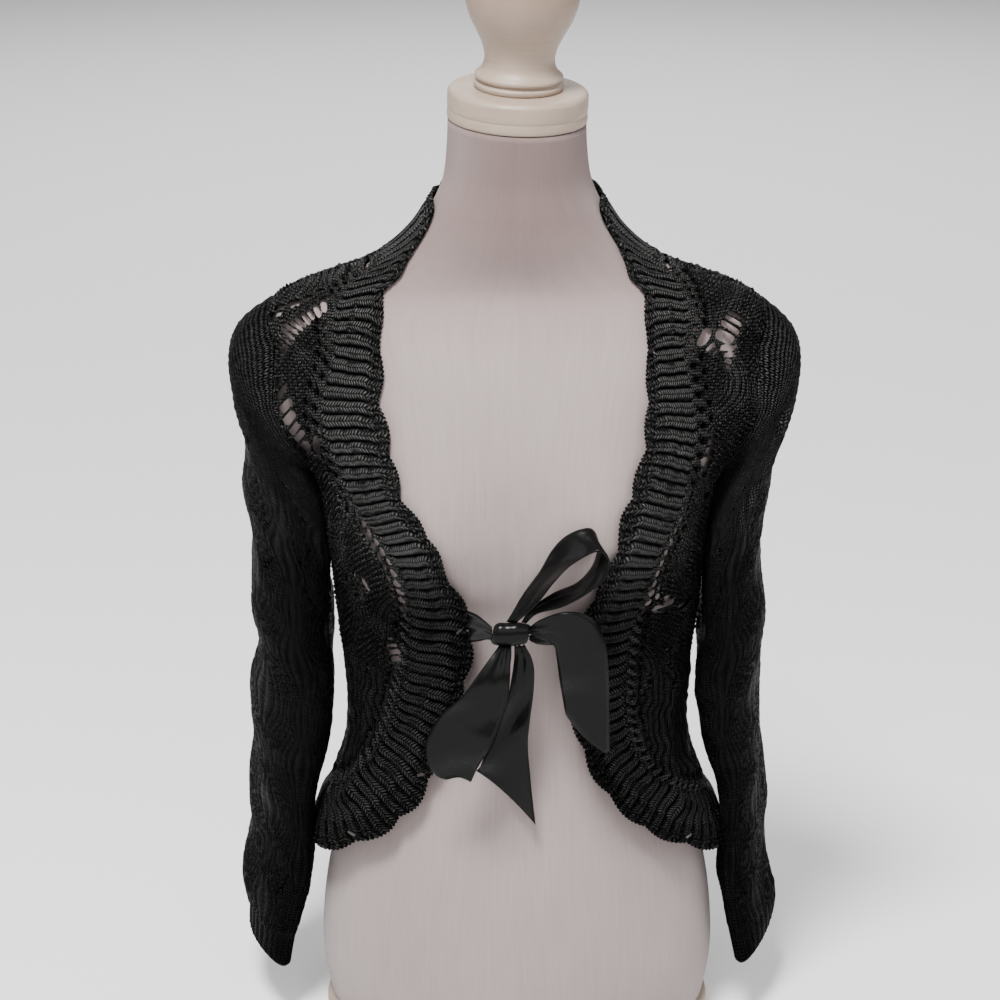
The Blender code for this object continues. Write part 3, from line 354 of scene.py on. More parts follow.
def shellMesh(p, q, depth, tri, base, normal, relief, thick=wall, radius=0.0011, paintedShade=0.0, chart=None):
    # two faces of cloth about a middle: the thickness falls to nothing at every edge along a quarter circle
    rounded = np.sqrt(1 - (1 - np.clip(depth / radius, 0, 1)) ** 2)
    top = base + normal * (thick / 2 + (thick / 2 + relief) * rounded)[:, None]
    low = base + normal * (thick / 2 - thick / 2 * rounded)[:, None]
    free = depth > 0
    below = np.where(free, len(p) + np.cumsum(free) - 1, np.arange(len(p)))
    points = np.concatenate([top, low[free]])
    deep = np.broadcast_to(np.asarray(paintedShade, float), (len(p),))
    points = np.concatenate([points, np.concatenate([deep, deep[free]])[:, None]], 1)
    if (faceSizes(top, tri) * normal[tri[:, 0]]).sum() < 0:
        tri = tri[:, ::-1]
    faces = np.concatenate([tri, below[tri][:, ::-1]])
    uv = np.stack([p, q] if chart is None else chart, -1)
    cornerUv = np.concatenate([uv[tri].reshape(-1, 2), uv[tri[:, ::-1]].reshape(-1, 2)])
    return points, faces, cornerUv


def weldMesh(points, faces, cornerUv):
    # points at one place become one, and faces that then have no area go
    _, firsts, index = np.unique(np.round(points, 6), axis=0, return_index=True, return_inverse=True)
    faces = index.reshape(-1)[faces]
    whole = (faces[:, 0] != faces[:, 1]) & (faces[:, 1] != faces[:, 2]) & (faces[:, 0] != faces[:, 2])
    return points[firsts], faces[whole], cornerUv.reshape(-1, 3, 2)[whole].reshape(-1, 2)


def tubes(starts, ends, ups, radius, bow=0.0):
    # a closed six-sided bar from each start to its end, thinner at the middle, bowed along ups
    sides = 6
    stations = np.array((0.0, 0.12, 0.5, 0.88, 1.0))
    swell = np.array((0.0, 1.0, 0.72, 1.0, 0.0))
    along = ends - starts
    across = np.cross(along, ups)
    across /= np.maximum(np.linalg.norm(across, axis=1, keepdims=True), 1e-12)
    angle = np.arange(sides) * 2 * np.pi / sides
    ring = across[:, None, None] * np.cos(angle)[None, None, :, None]
    ring = ring + ups[:, None, None] * np.sin(angle)[None, None, :, None]
    middle = starts[:, None] + along[:, None] * stations[None, :, None]
    middle = middle + ups[:, None] * (bow * 4 * stations * (1 - stations))[None, :, None]
    points = middle[:, :, None] + ring * (swell * radius)[None, :, None, None]
    bar = halved(gridFaces(len(stations), sides, True))
    faces = (np.arange(len(starts))[:, None, None] * sides * len(stations) + bar[None]).reshape(-1, 3)
    points = points.reshape(-1, 3)
    faces = facingOut(points, faces, np.repeat(starts + along / 2, len(bar), 0))
    flat = np.stack([points[:, 0], points[:, 2]], -1)
    return np.pad(points, ((0, 0), (0, 1))), faces, flat[faces].reshape(-1, 2)


def joined(parts):
    # several meshes' arrays as one
    points, faces, uv, count = [], [], [], 0
    for somePoints, someFaces, someUv in parts:
        points.append(somePoints)
        faces.append(someFaces + count)
        uv.append(someUv)
        count += len(somePoints)
    return np.concatenate(points), np.concatenate(faces), np.concatenate(uv)


def outlineDepth(p, q, outline):
    # signed distance to a closed outline, + inside: how far the nearest side is, and whether the sides to
    # the right are odd in number
    far = np.full(p.shape, 1.0)
    inside = np.zeros(p.shape, bool)
    for (x1, y1), (x2, y2) in zip(outline, np.roll(outline, -1, 0)):
        far = np.minimum(far, nearLine(p, q, x1, y1, x2, y2))
        if y1 != y2:
            spans = (y1 > q) != (y2 > q)
            inside ^= spans & (p < x1 + (q - y1) / (y2 - y1) * (x2 - x1))
    return np.where(inside, far, -far)


def holeDepth(p, q, holes):
    # distance to the nearest opening: each is a line between two ends with a rounded width
    far = np.full(p.shape, 1.0)
    lowP, stepP = p[0, 0], p[0, 1] - p[0, 0]
    lowQ, stepQ = q[0, 0], q[1, 0] - q[0, 0]
    for x1, y1, x2, y2, wide in holes:
        reach = wide / 2 + 0.004
        i1, i2 = (int((min(y1, y2) - reach - lowQ) / stepQ), int((max(y1, y2) + reach - lowQ) / stepQ) + 2)
        j1, j2 = (int((min(x1, x2) - reach - lowP) / stepP), int((max(x1, x2) + reach - lowP) / stepP) + 2)
        if i2 <= 0 or j2 <= 0 or i1 >= p.shape[0] or j1 >= p.shape[1]:
            continue
        part = (slice(max(i1, 0), i2), slice(max(j1, 0), j2))
        here = nearLine(p[part], q[part], x1, y1, x2, y2) - wide / 2
        far[part] = np.minimum(far[part], here)
    return far


def chartGrid(low, high, step):
    # a regular grid over a box of the chart
    p = np.arange(low[0], high[0] + step, step)
    q = np.arange(low[1], high[1] + step, step)
    return np.meshgrid(p, q)


def shaderOf(name, colour, roughness):
    material = bpy.data.materials.new(name)
    material.use_nodes = True
    shader = material.node_tree.nodes["Principled BSDF"]
    shader.inputs["Base Color"].default_value = (*colour, 1)
    shader.inputs["Roughness"].default_value = roughness
    return material, material.node_tree, shader


def clothChart(tree):
    # the piece's own UV map in metres of cloth, whole and as its two parts
    chart = tree.nodes.new("ShaderNodeUVMap")
    chart.uv_map = "metres"
    split = tree.nodes.new("ShaderNodeSeparateXYZ")
    tree.links.new(chart.outputs["UV"], split.inputs["Vector"])
    return chart.outputs["UV"], split.outputs["X"], split.outputs["Y"]


def mathNode(tree, operation, first, second=None, third=None):
    node = tree.nodes.new("ShaderNodeMath")
    node.operation = operation
    for socket, value in zip(node.inputs, (first, second, third)):
        if value is None:
            continue
        if isinstance(value, (int, float)):
            socket.default_value = value
        else:
            tree.links.new(value, socket)
    return node.outputs[0]


def noiseOf(tree, vector, scale, detail=2.0, roughness=0.5):
    node = tree.nodes.new("ShaderNodeTexNoise")
    node.inputs["Scale"].default_value = scale
    node.inputs["Detail"].default_value = detail
    node.inputs["Roughness"].default_value = roughness
    tree.links.new(vector, node.inputs["Vector"])
    return node.outputs["Fac"]


def rampOf(tree, value, *stops):
    # colours laid out along a value: each stop is a place and a colour
    node = tree.nodes.new("ShaderNodeValToRGB")
    while len(node.color_ramp.elements) < len(stops):
        node.color_ramp.elements.new(0.5)
    for element, (place, colour) in zip(node.color_ramp.elements, stops):
        element.position = place
        element.color = (*colour, 1)
    tree.links.new(value, node.inputs["Fac"])
    return node.outputs["Color"]


def scaledVector(tree, vector, scale):
    node = tree.nodes.new("ShaderNodeMapping")
    node.inputs["Scale"].default_value = scale
    tree.links.new(vector, node.inputs["Vector"])
    return node.outputs["Vector"]


def colourProduct(tree, shader, first, second):
    # the product of two colours as the surface's own
    node = tree.nodes.new("ShaderNodeVectorMath")
    node.operation = "MULTIPLY"
    tree.links.new(first, node.inputs[0])
    tree.links.new(second, node.inputs[1])
    tree.links.new(node.outputs["Vector"], shader.inputs["Base Color"])


def bumpOn(tree, shader, height, distance, strength=1.0, under=None):
    node = tree.nodes.new("ShaderNodeBump")
    node.inputs["Distance"].default_value = distance
    node.inputs["Strength"].default_value = strength
    tree.links.new(height, node.inputs["Height"])
    if under is not None:
        tree.links.new(under, node.inputs["Normal"])
    tree.links.new(node.outputs["Normal"], shader.inputs["Normal"])
    return node.outputs["Normal"]


yarn = {"stitchWide": 0.0030, "stitchTall": 0.0024, "slant": 0.62, "depth": 0.0013, "roughness": 0.34,
        "drift": 0.0034, "fuzz": 0.25, "paintedShadeDark": 0.9, "shine": 0.072, "paintedShadeDull": 0.068}


def yarnMaterial(name):
    # a stitch is a V of two strands. Across it f runs from 0 to 1, and each strand is a parabola over the
    # fraction of the height in stitches less slant times the distance from the middle, times a second
    # parabola across the strand
    material, tree, shader = shaderOf(name, (0.012, 0.012, 0.013), yarn["roughness"])
    chart, chartX, chartY = clothChart(tree)
    wobble = noiseOf(tree, chart, 70.0, 2.0)
    drift = mathNode(tree, "MULTIPLY_ADD", wobble, yarn["drift"], -yarn["drift"] / 2)
    across = mathNode(tree, "DIVIDE", mathNode(tree, "ADD", chartX, drift), yarn["stitchWide"])
    up = mathNode(tree, "DIVIDE", mathNode(tree, "ADD", chartY, drift), yarn["stitchTall"])
    f = mathNode(tree, "FRACT", across)
    fromMiddle = mathNode(tree, "ABSOLUTE", mathNode(tree, "MULTIPLY_ADD", f, 2.0, -1.0))
    slanted = mathNode(tree, "SUBTRACT", up, mathNode(tree, "MULTIPLY", fromMiddle, yarn["slant"]))
    legOffset = mathNode(tree, "MULTIPLY_ADD", mathNode(tree, "FRACT", slanted), 2.0, -1.0)
    leg = mathNode(tree, "SUBTRACT", 1.0, mathNode(tree, "MULTIPLY", legOffset, legOffset))
    half = mathNode(tree, "FRACT", mathNode(tree, "MULTIPLY", f, 2.0))
    strandOffset = mathNode(tree, "MULTIPLY_ADD", half, 2.0, -1.0)
    strand = mathNode(tree, "SUBTRACT", 1.0, mathNode(tree, "MULTIPLY", strandOffset, strandOffset))
    stitch = mathNode(tree, "MULTIPLY", leg, mathNode(tree, "POWER", strand, 0.6))
    fuzz = noiseOf(tree, chart, 1500.0, 2.0, 0.7)
    height = mathNode(tree, "MULTIPLY_ADD", fuzz, yarn["fuzz"], stitch)
    bumpOn(tree, shader, height, yarn["depth"])
    blotch = noiseOf(tree, chart, 70.0, 3.0, 0.6)
    speck = noiseOf(tree, chart, 520.0, 2.0, 0.6)
    mixed = mathNode(tree, "MULTIPLY_ADD", blotch, 0.35, mathNode(tree, "MULTIPLY_ADD", speck, 0.45, -0.4))
    # painted highlight and shade: near black in the gaps between strands and grey on the strands' tops,
    # mixed with the yarn's own blotchy random tone
    tone = mathNode(tree, "ADD", stitch, mixed)
    colour = rampOf(tree, tone, (0.0, (0.0003, 0.0003, 0.0004)), (0.38, (0.0030, 0.0030, 0.0030)),
                    (0.75, (0.020, 0.0197, 0.0192)), (1.0, (0.080, 0.079, 0.077)))
    # painted shade: each point's shade value darkens the colour, in hollows and lower down
    paintedShade = tree.nodes.new("ShaderNodeAttribute")
    paintedShade.attribute_name = "paintedShade"
    lit = mathNode(tree, "MULTIPLY_ADD", paintedShade.outputs["Fac"], -yarn["paintedShadeDark"], 1.0)
    shaded = tree.nodes.new("ShaderNodeVectorMath")
    shaded.operation = "SCALE"
    tree.links.new(colour, shaded.inputs[0])
    tree.links.new(lit, shaded.inputs["Scale"])
    tree.links.new(shaded.outputs["Vector"], shader.inputs["Base Color"])
    # painted shade also dulls the reflection in the same places
    shine = mathNode(tree, "MULTIPLY_ADD", paintedShade.outputs["Fac"], -yarn["paintedShadeDull"], yarn["shine"])
    tree.links.new(shine, shader.inputs["Specular IOR Level"])
    return material


satin = {"thread": 0.00055, "specular": 0.085, "anisotropic": 0.3}


def satinMaterial(name):
    # fine crosswise threads, a sine along the ribbon, and a faint slub on smooth black
    material, tree, shader = shaderOf(name, (0.0046, 0.0045, 0.0044), 0.3)
    chart, _, chartY = clothChart(tree)
    thread = mathNode(tree, "SINE", mathNode(tree, "MULTIPLY", chartY, 2 * math.pi / satin["thread"]))
    slub = noiseOf(tree, chart, 420.0, 3.0, 0.6)
    soft = noiseOf(tree, chart, 60.0, 2.0)
    first = bumpOn(tree, shader, mathNode(tree, "MULTIPLY_ADD", thread, 0.05, slub), 0.00005, 0.5)
    bumpOn(tree, shader, soft, 0.0012, 0.5, first)
    rough = rampOf(tree, slub, (0.3, (0.17, 0.17, 0.17)), (0.75, (0.26, 0.26, 0.26)))
    tree.links.new(rough, shader.inputs["Roughness"])
    shader.inputs["Specular IOR Level"].default_value = satin["specular"]
    shader.inputs["Anisotropic"].default_value = satin["anisotropic"]
    return material


jersey = {"wale": 0.0011, "course": 0.0009, "wander": 0.0016, "roughness": 0.88, "neckFrom": 0.58,
          "neckTo": 0.68}


def jerseyMaterial(name):
    # fine upright wales about a millimetre apart, wandering a little, with soft pilling; painted shade
    # makes the neck darker and warmer
    material, tree, shader = shaderOf(name, (0.60, 0.54, 0.54), jersey["roughness"])
    chart, chartX, chartY = clothChart(tree)
    wander = mathNode(tree, "MULTIPLY_ADD", noiseOf(tree, chart, 25.0), jersey["wander"], chartX)
    wale = mathNode(tree, "SINE", mathNode(tree, "MULTIPLY", wander, 2 * math.pi / jersey["wale"]))
    course = mathNode(tree, "SINE", mathNode(tree, "MULTIPLY", chartY, 2 * math.pi / jersey["course"]))
    pill = noiseOf(tree, chart, 900.0, 3.0, 0.65)
    height = mathNode(tree, "MULTIPLY_ADD", wale, 0.34, mathNode(tree, "MULTIPLY_ADD", course, 0.12, pill))
    bumpOn(tree, shader, height, 0.00022, 0.8)
    streak = noiseOf(tree, scaledVector(tree, chart, (60.0, 3.0, 1.0)), 6.0, 3.0)
    cloud = noiseOf(tree, chart, 9.0, 3.0)
    tone = mathNode(tree, "MULTIPLY_ADD", streak, 0.5, mathNode(tree, "MULTIPLY", cloud, 0.5))
    colour = rampOf(tree, tone, (0.25, (0.265, 0.215, 0.208)), (0.75, (0.330, 0.272, 0.262)))
    place = tree.nodes.new("ShaderNodeSeparateXYZ")
    tree.links.new(tree.nodes.new("ShaderNodeTexCoord").outputs["Object"], place.inputs["Vector"])
    # painted shade over the neck
    paintedNeckShade = rampOf(tree, place.outputs["Z"], (jersey["neckFrom"], (1, 1, 1)),
                      (jersey["neckTo"], (0.66, 0.565, 0.545)))
    colourProduct(tree, shader, colour, paintedNeckShade)
    shader.inputs["Sheen Weight"].default_value = 0.15
    shader.inputs["Sheen Roughness"].default_value = 0.5
    shader.inputs["Specular IOR Level"].default_value = 0.25
    return material


def paintMaterial(name):
    # cream paint on turned wood: brush rings, cloudy yellowing and small scuffs; the finial is darker,
    # painted shade
    material, tree, shader = shaderOf(name, (0.72, 0.65, 0.55), 0.42)
    place = tree.nodes.new("ShaderNodeTexCoord").outputs["Object"]
    brush = noiseOf(tree, scaledVector(tree, place, (8.0, 8.0, 260.0)), 2.0, 3.0, 0.6)
    cloud = noiseOf(tree, place, 26.0, 4.0, 0.6)
    scuff = noiseOf(tree, place, 210.0, 5.0, 0.75)
    tone = mathNode(tree, "MULTIPLY_ADD", cloud, 0.6, mathNode(tree, "MULTIPLY", brush, 0.4))
    colour = rampOf(tree, tone, (0.2, (0.215, 0.150, 0.108)), (0.42, (0.300, 0.228, 0.175)),
                    (0.8, (0.370, 0.295, 0.235)))
    split = tree.nodes.new("ShaderNodeSeparateXYZ")
    tree.links.new(place, split.inputs["Vector"])
    # painted shade: above the cap the finial is darker
    paintedFinialShade = rampOf(tree, split.outputs["Z"], (0.78, (1, 1, 1)), (0.85, (0.74, 0.66, 0.62)))
    colourProduct(tree, shader, colour, paintedFinialShade)
    rough = rampOf(tree, scuff, (0.35, (0.36, 0.36, 0.36)), (0.7, (0.6, 0.6, 0.6)))
    tree.links.new(rough, shader.inputs["Roughness"])
    bumpOn(tree, shader, mathNode(tree, "MULTIPLY_ADD", brush, 0.5, scuff), 0.00012, 0.5)
    return material


blackYarn = yarnMaterial("blackYarn")
blackSatin = satinMaterial("blackSatin")
paleJersey = jerseyMaterial("paleJersey")
creamPaint = paintMaterial("creamPaint")
print("materials made")


def closedRings(name, rings, material, cornerScale=1.0):
    # rings of points, bottom to top, closed by a point in the middle of the first and of the last
    rows, columns = rings.shape[:2]
    points = np.concatenate([rings.reshape(-1, 3), rings[:1].mean(1), rings[-1:].mean(1)])
    j = np.arange(columns)
    k = (j + 1) % columns
    last = (rows - 1) * columns
    ends = np.concatenate([np.stack([k, j, np.full(columns, rows * columns)], 1),
                           np.stack([last + j, last + k, np.full(columns, rows * columns + 1)], 1)])
    faces = facingOut(points, np.concatenate([halved(gridFaces(rows, columns, True)), ends]), points.mean(0))
    turn = np.concatenate([np.tile(np.arange(columns) / columns, rows), [0.5, 0.5]])
    around = turn[faces]
    around = np.where(around.max(1, keepdims=True) - around > 0.5, around + 1, around)
    girth = np.linalg.norm(np.diff(rings[rows // 2], axis=0), axis=1).sum()
    uv = np.stack([around * girth, points[faces][..., 2]], -1) * cornerScale
    return meshPiece(name, points, faces, material, uv.reshape(-1, 2))


columnsRound = 128
turns = np.arange(columnsRound) * 360 / columnsRound
stump = {"reach": 0.040, "most": 0.197, "turn": 11.0, "height": 0.532, "tall": 0.052}
# under the cloth, past a turn from centre front and between two heights, the form swells to near it
swell = {"clear": 0.0035, "most": 0.007, "turn": 32, "low": 0.20, "high": 0.60}


def torsoRings():
    # the form's sections with the swell, and at each armhole a short rounded stump: a plateau that falls off
    # as e to the minus sixth power of the distance
    height = np.concatenate([np.linspace(0.0165, 0.42, 50), np.linspace(0.428, 0.66, 74),
                             np.linspace(0.665, 0.7515, 18)])[:, None]
    around = np.abs(turnWithin(turns))[None]
    spare = np.clip(easeAt(turns[None], height) - swell["clear"], 0, swell["most"])
    spare = spare * softStep((around - swell["turn"]) / 16) * softStep((height - swell["low"]) / 0.05)
    spare = spare * softStep((swell["high"] - height) / 0.04)
    rings = formPoint(turns[None], height) + formNormal(turns[None], height) * spare[..., None]
    fromStump = ((around - 90) / stump["turn"]) ** 2 + ((height - stump["height"]) / stump["tall"]) ** 2
    room = np.maximum(stump["most"] - np.abs(rings[..., 0]), 0)
    reachX = np.minimum(stump["reach"] * np.exp(-(fromStump**3)), room)
    rings[..., 0] = rings[..., 0] + np.sign(rings[..., 0]) * reachX
    lip = rings[:1] * np.array([0.99, 0.99, 1]) - np.array([0, 0, 0.001])
    return np.concatenate([lip, rings])


torso = closedRings("formTorso", torsoRings(), paleJersey)
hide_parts("form_torso")


def boardRings():
    # the hips' own section a little larger, carried up a rounded edge
    profile = np.array(((0.985, 0.0), (1.012, 0.0008), (1.024, 0.0028), (1.028, 0.006), (1.028, 0.0095),
                        (1.024, 0.0125), (1.012, 0.0145), (0.985, 0.0150)))
    section = formPoint(turns, 0.0153) * np.array([1, 1, 0])
    return section[None] * profile[:, :1, None] + np.array([0, 0, 1]) * profile[:, 1:, None]


board = closedRings("formBaseBoard", boardRings(), creamPaint)
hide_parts("form_base_board")

# radius and height over the neck's top; turned pieces
capProfile = ((0.0530, 0.0004), (0.0538, 0.0022), (0.0538, 0.0060), (0.0534, 0.0078), (0.0534, 0.0088),
              (0.0538, 0.0104), (0.0538, 0.0196), (0.0533, 0.0216), (0.0520, 0.0232), (0.0494, 0.0241),
              (0.0440, 0.0243), (0.0380, 0.0243))
finialProfile = (
    (0.0334, 0.0246), (0.0340, 0.0256), (0.0342, 0.0272), (0.0338, 0.0286), (0.0324, 0.0295),
    (0.0316, 0.0302), (0.0322, 0.0312), (0.0334, 0.0320), (0.0339, 0.0334), (0.0335, 0.0350),
    (0.0320, 0.0364), (0.0304, 0.0378), (0.0290, 0.0396), (0.0278, 0.0418), (0.0270, 0.0452),
    (0.0268, 0.0490), (0.0278, 0.0540), (0.0295, 0.0590), (0.0324, 0.0650), (0.0355, 0.0708),
    (0.0388, 0.0774), (0.0412, 0.0842), (0.0428, 0.0904), (0.0433, 0.0965), (0.0428, 0.1030),
    (0.0410, 0.1090), (0.0383, 0.1156), (0.0345, 0.1214), (0.0298, 0.1266), (0.0245, 0.1312),
    (0.0188, 0.1348), (0.0130, 0.1373), (0.0066, 0.1387), (0.0012, 0.1390),
)


def turnedRings(profile, steps):
    # the profile smoothed, carried round an upright axis, then leant and tipped with the neck
    profile = np.array(profile)
    at = np.linspace(0, len(profile) - 1, steps * (len(profile) - 1) + 1)
    radius = eased(np.arange(len(profile)), profile[:, 0], at)
    height = eased(np.arange(len(profile)), profile[:, 1], at)
    angle = np.arange(96) * 2 * np.pi / 96
    ring = np.stack([np.cos(angle), np.sin(angle), 0 * angle], -1)
    points = radius[:, None, None] * ring[None] + height[:, None, None] * np.array([0, 0, 1])
    lean, tip = neck["lean"], neck["tip"]
    aboutX = np.array([[1, 0, 0], [0, math.cos(lean), -math.sin(lean)], [0, math.sin(lean), math.cos(lean)]])
    aboutY = np.array([[math.cos(tip), 0, math.sin(tip)], [0, 1, 0], [-math.sin(tip), 0, math.cos(tip)]])
    return points @ (aboutY @ aboutX).T + np.array([0, float(formSize("middleY", neckTop)), neckTop])


cap = closedRings("formNeckCap", turnedRings(capProfile, 2), creamPaint)
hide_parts("form_neck_cap")
finial = closedRings("formFinial", turnedRings(finialProfile, 2), creamPaint)
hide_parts("form_finial")
print("form made")

# down the front towards -X: turn and height of the free edge, of the seam, and millimetres of curl
borderRight = np.array((
    (-90.4, 0.692, -90.4, 0.641, 0), (-68, 0.682, -76, 0.638, 0), (-60, 0.660, -66, 0.633, 0),
    (-54, 0.643, -58.5, 0.624, 0), (-43, 0.627, -51, 0.613, 0), (-34.5, 0.609, -48.5, 0.600, 0),
    (-33.5, 0.588, -49, 0.583, 0), (-35.5, 0.567, -54, 0.564, 0), (-38, 0.548, -60, 0.542, 0),
    (-38, 0.527, -63, 0.516, 0), (-37, 0.506, -61, 0.489, 0), (-35.7, 0.490, -55, 0.467, 0),
    (-33.8, 0.477, -47.5, 0.452, 0), (-28.8, 0.464, -41.5, 0.441, 0), (-24.6, 0.448, -37.5, 0.430, 0),
    (-22.4, 0.428, -35.0, 0.414, 0), (-17.5, 0.405, -34.0, 0.397, 0), (-14.8, 0.381, -34.5, 0.376, 1),
    (-14.3, 0.357, -36.0, 0.352, 1), (-16, 0.333, -39.5, 0.327, 0), (-20, 0.307, -44, 0.301, 0),
    (-24.5, 0.280, -49.5, 0.275, 0), (-28, 0.251, -55, 0.252, 1), (-32.5, 0.225, -61, 0.234, 3),
    (-38.5, 0.204, -67, 0.221, 4), (-48, 0.184, -72.5, 0.212, 4), (-60, 0.168, -78.5, 0.206, 4),
    (-74, 0.158, -84, 0.203, 4), (-90.4, 0.154, -90.4, 0.202, 4),
))
# down the front towards +X
borderLeft = np.array((
    (90.4, 0.692, 90.4, 0.641, 0), (68, 0.683, 76, 0.638, 0), (62, 0.662, 67, 0.633, 0),
    (54, 0.645, 59, 0.626, 0), (42, 0.629, 50, 0.616, 0), (33, 0.611, 45, 0.603, 0),
    (31.5, 0.590, 43.5, 0.585, 0), (34, 0.567, 48, 0.564, 0), (36, 0.546, 53, 0.542, 0),
    (37.5, 0.525, 57.5, 0.518, 0), (37, 0.504, 59, 0.494, 0), (34.5, 0.486, 57.5, 0.475, 0),
    (32, 0.470, 54.5, 0.459, 0), (30.5, 0.452, 50.5, 0.443, 0), (28.5, 0.434, 46.5, 0.428, 0),
    (25.5, 0.415, 43, 0.411, 0), (22, 0.395, 40.5, 0.393, 0), (18, 0.374, 38, 0.373, 1),
    (15.5, 0.351, 37, 0.349, 1), (15.5, 0.328, 37.5, 0.325, 0), (18, 0.303, 38.5, 0.300, 0),
    (21, 0.278, 41, 0.275, 0), (25, 0.252, 45, 0.252, 1), (30.5, 0.228, 51, 0.234, 3),
    (38, 0.204, 58.5, 0.221, 4), (48.5, 0.184, 67, 0.210, 4), (61, 0.167, 75, 0.203, 4),
    (75, 0.156, 83, 0.199, 4), (90.4, 0.153, 90.4, 0.198, 4),
))
# round the back of the neck
borderNeck = np.array((
    (89.6, 0.692, 89.6, 0.641, 0), (120, 0.697, 116, 0.647, 0), (150, 0.700, 146, 0.654, 0),
    (180, 0.701, 180, 0.657, 0), (210, 0.700, 214, 0.654, 0), (240, 0.697, 244, 0.647, 0),
    (270.4, 0.692, 270.4, 0.641, 0),
))
# round the back of the hem
borderHem = np.array((
    (89.6, 0.153, 89.6, 0.198, 4), (120, 0.153, 120, 0.199, 4), (150, 0.155, 150, 0.203, 4),
    (180, 0.156, 180, 0.205, 4), (210, 0.156, 210, 0.204, 4), (240, 0.155, 240, 0.203, 4),
    (270.4, 0.154, 270.4, 0.202, 4),
))
# rows by which the free edge leads the seam, the row of the bell's middle and its width
borderLeads = {"right": ((0.32, 5.5, 3.0), (0.60, 12.6, 2.6), (1.0, 21.5, 2.6)),
               "left": ((0.25, 5.5, 2.5), (-0.7, 12.5, 3.2), (1.0, 21.5, 2.6))}
borderNames = ("edgeTurn", "edgeHeight", "seamTurn", "seamHeight", "curl")
border = {"frontRibs": 62, "neckRibs": 22, "hemRibs": 46, "ribWide": 0.010, "across": 0.045, "columns": 11,
          "rows": 33, "rise": 0.0012, "groove": 0.0022, "scallop": 0.0038, "scallopRibs": 4, "tooth": 0.0015,
          "lap": 0.0016, "flare": 0.004, "bead": 0.0020, "beadWide": 0.0042, "beadTall": 0.0036,
          "lip": 0.0005, "strand": 0.00045, "hole": 0.0019}


def paintedShadeLower(paintedShade, height):
    # painted shade: lower down the cloth is darker, standing in for less light reaching it
    return 1 - (1 - paintedShade) * (0.36 + 0.64 * softStep((height - 0.375) / 0.075))


def beadField(u, v, wide, tall):
    # rows of rounded bumps laid like bricks: a squared sine across each by a squared sine up it
    row = np.floor(v / tall)
    shifted = u + np.mod(row, 2) * wide / 2 + 0.0006 * (chance(row, 4.0) - 0.5)
    return np.sin(np.pi * shifted / wide) ** 2 * np.sin(np.pi * v / tall) ** 2


def borderRows(table, at):
    # the border's free edge, seam and curl at places along it, eased between the table's rows. In each bell
    # of table rows the free edge runs ahead of the seam, or behind it, so that the ribs there slant
    at = np.asarray(at, float)
    ahead = np.zeros(at.shape)
    if len(table) > 20:
        for lead, row, wide in borderLeads["right" if table[1, 0] < 0 else "left"]:
            ahead = ahead + lead * bell((at - row) / wide)
    steps = np.arange(len(table))
    return {name: eased(steps, table[:, i], at + ahead * name.startswith("edge"))
            for i, name in enumerate(borderNames)}


def ribStations(table, ribs):
    # the table places of the ends of the ribs, so that ribs share the border's length evenly
    fine = np.linspace(0, len(table) - 1, 40 * len(table))
    rows = borderRows(table, fine)
    turn, height = (rows["edgeTurn"] + rows["seamTurn"]) / 2, (rows["edgeHeight"] + rows["seamHeight"]) / 2
    run = runAlong(clothInside(turn, height))
    return np.interp(np.linspace(0, run[-1], ribs + 1), run, fine)


def atRibs(table, ribs, rib):
    return borderRows(table, np.interp(rib, np.arange(ribs + 1), ribStations(table, ribs)))


def borderPlace(table, ribs, rib, t):
    # turn, height and curl: rib counts along the border, and t goes from 0 at the seam to 1 at the free edge
    rows = atRibs(table, ribs, rib)
    turn = rows["seamTurn"] + (rows["edgeTurn"] - rows["seamTurn"]) * t
    height = rows["seamHeight"] + (rows["edgeHeight"] - rows["seamHeight"]) * t
    return turn, height, rows["curl"] * 0.001 * t * np.abs(t)


def knitPiece(name, shell, *nodes):
    points, faces, uv = shell
    piece = meshPiece(name, points, faces, blackYarn, uv)
    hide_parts(*nodes)
    print(name, len(faces), "triangles")
    return piece


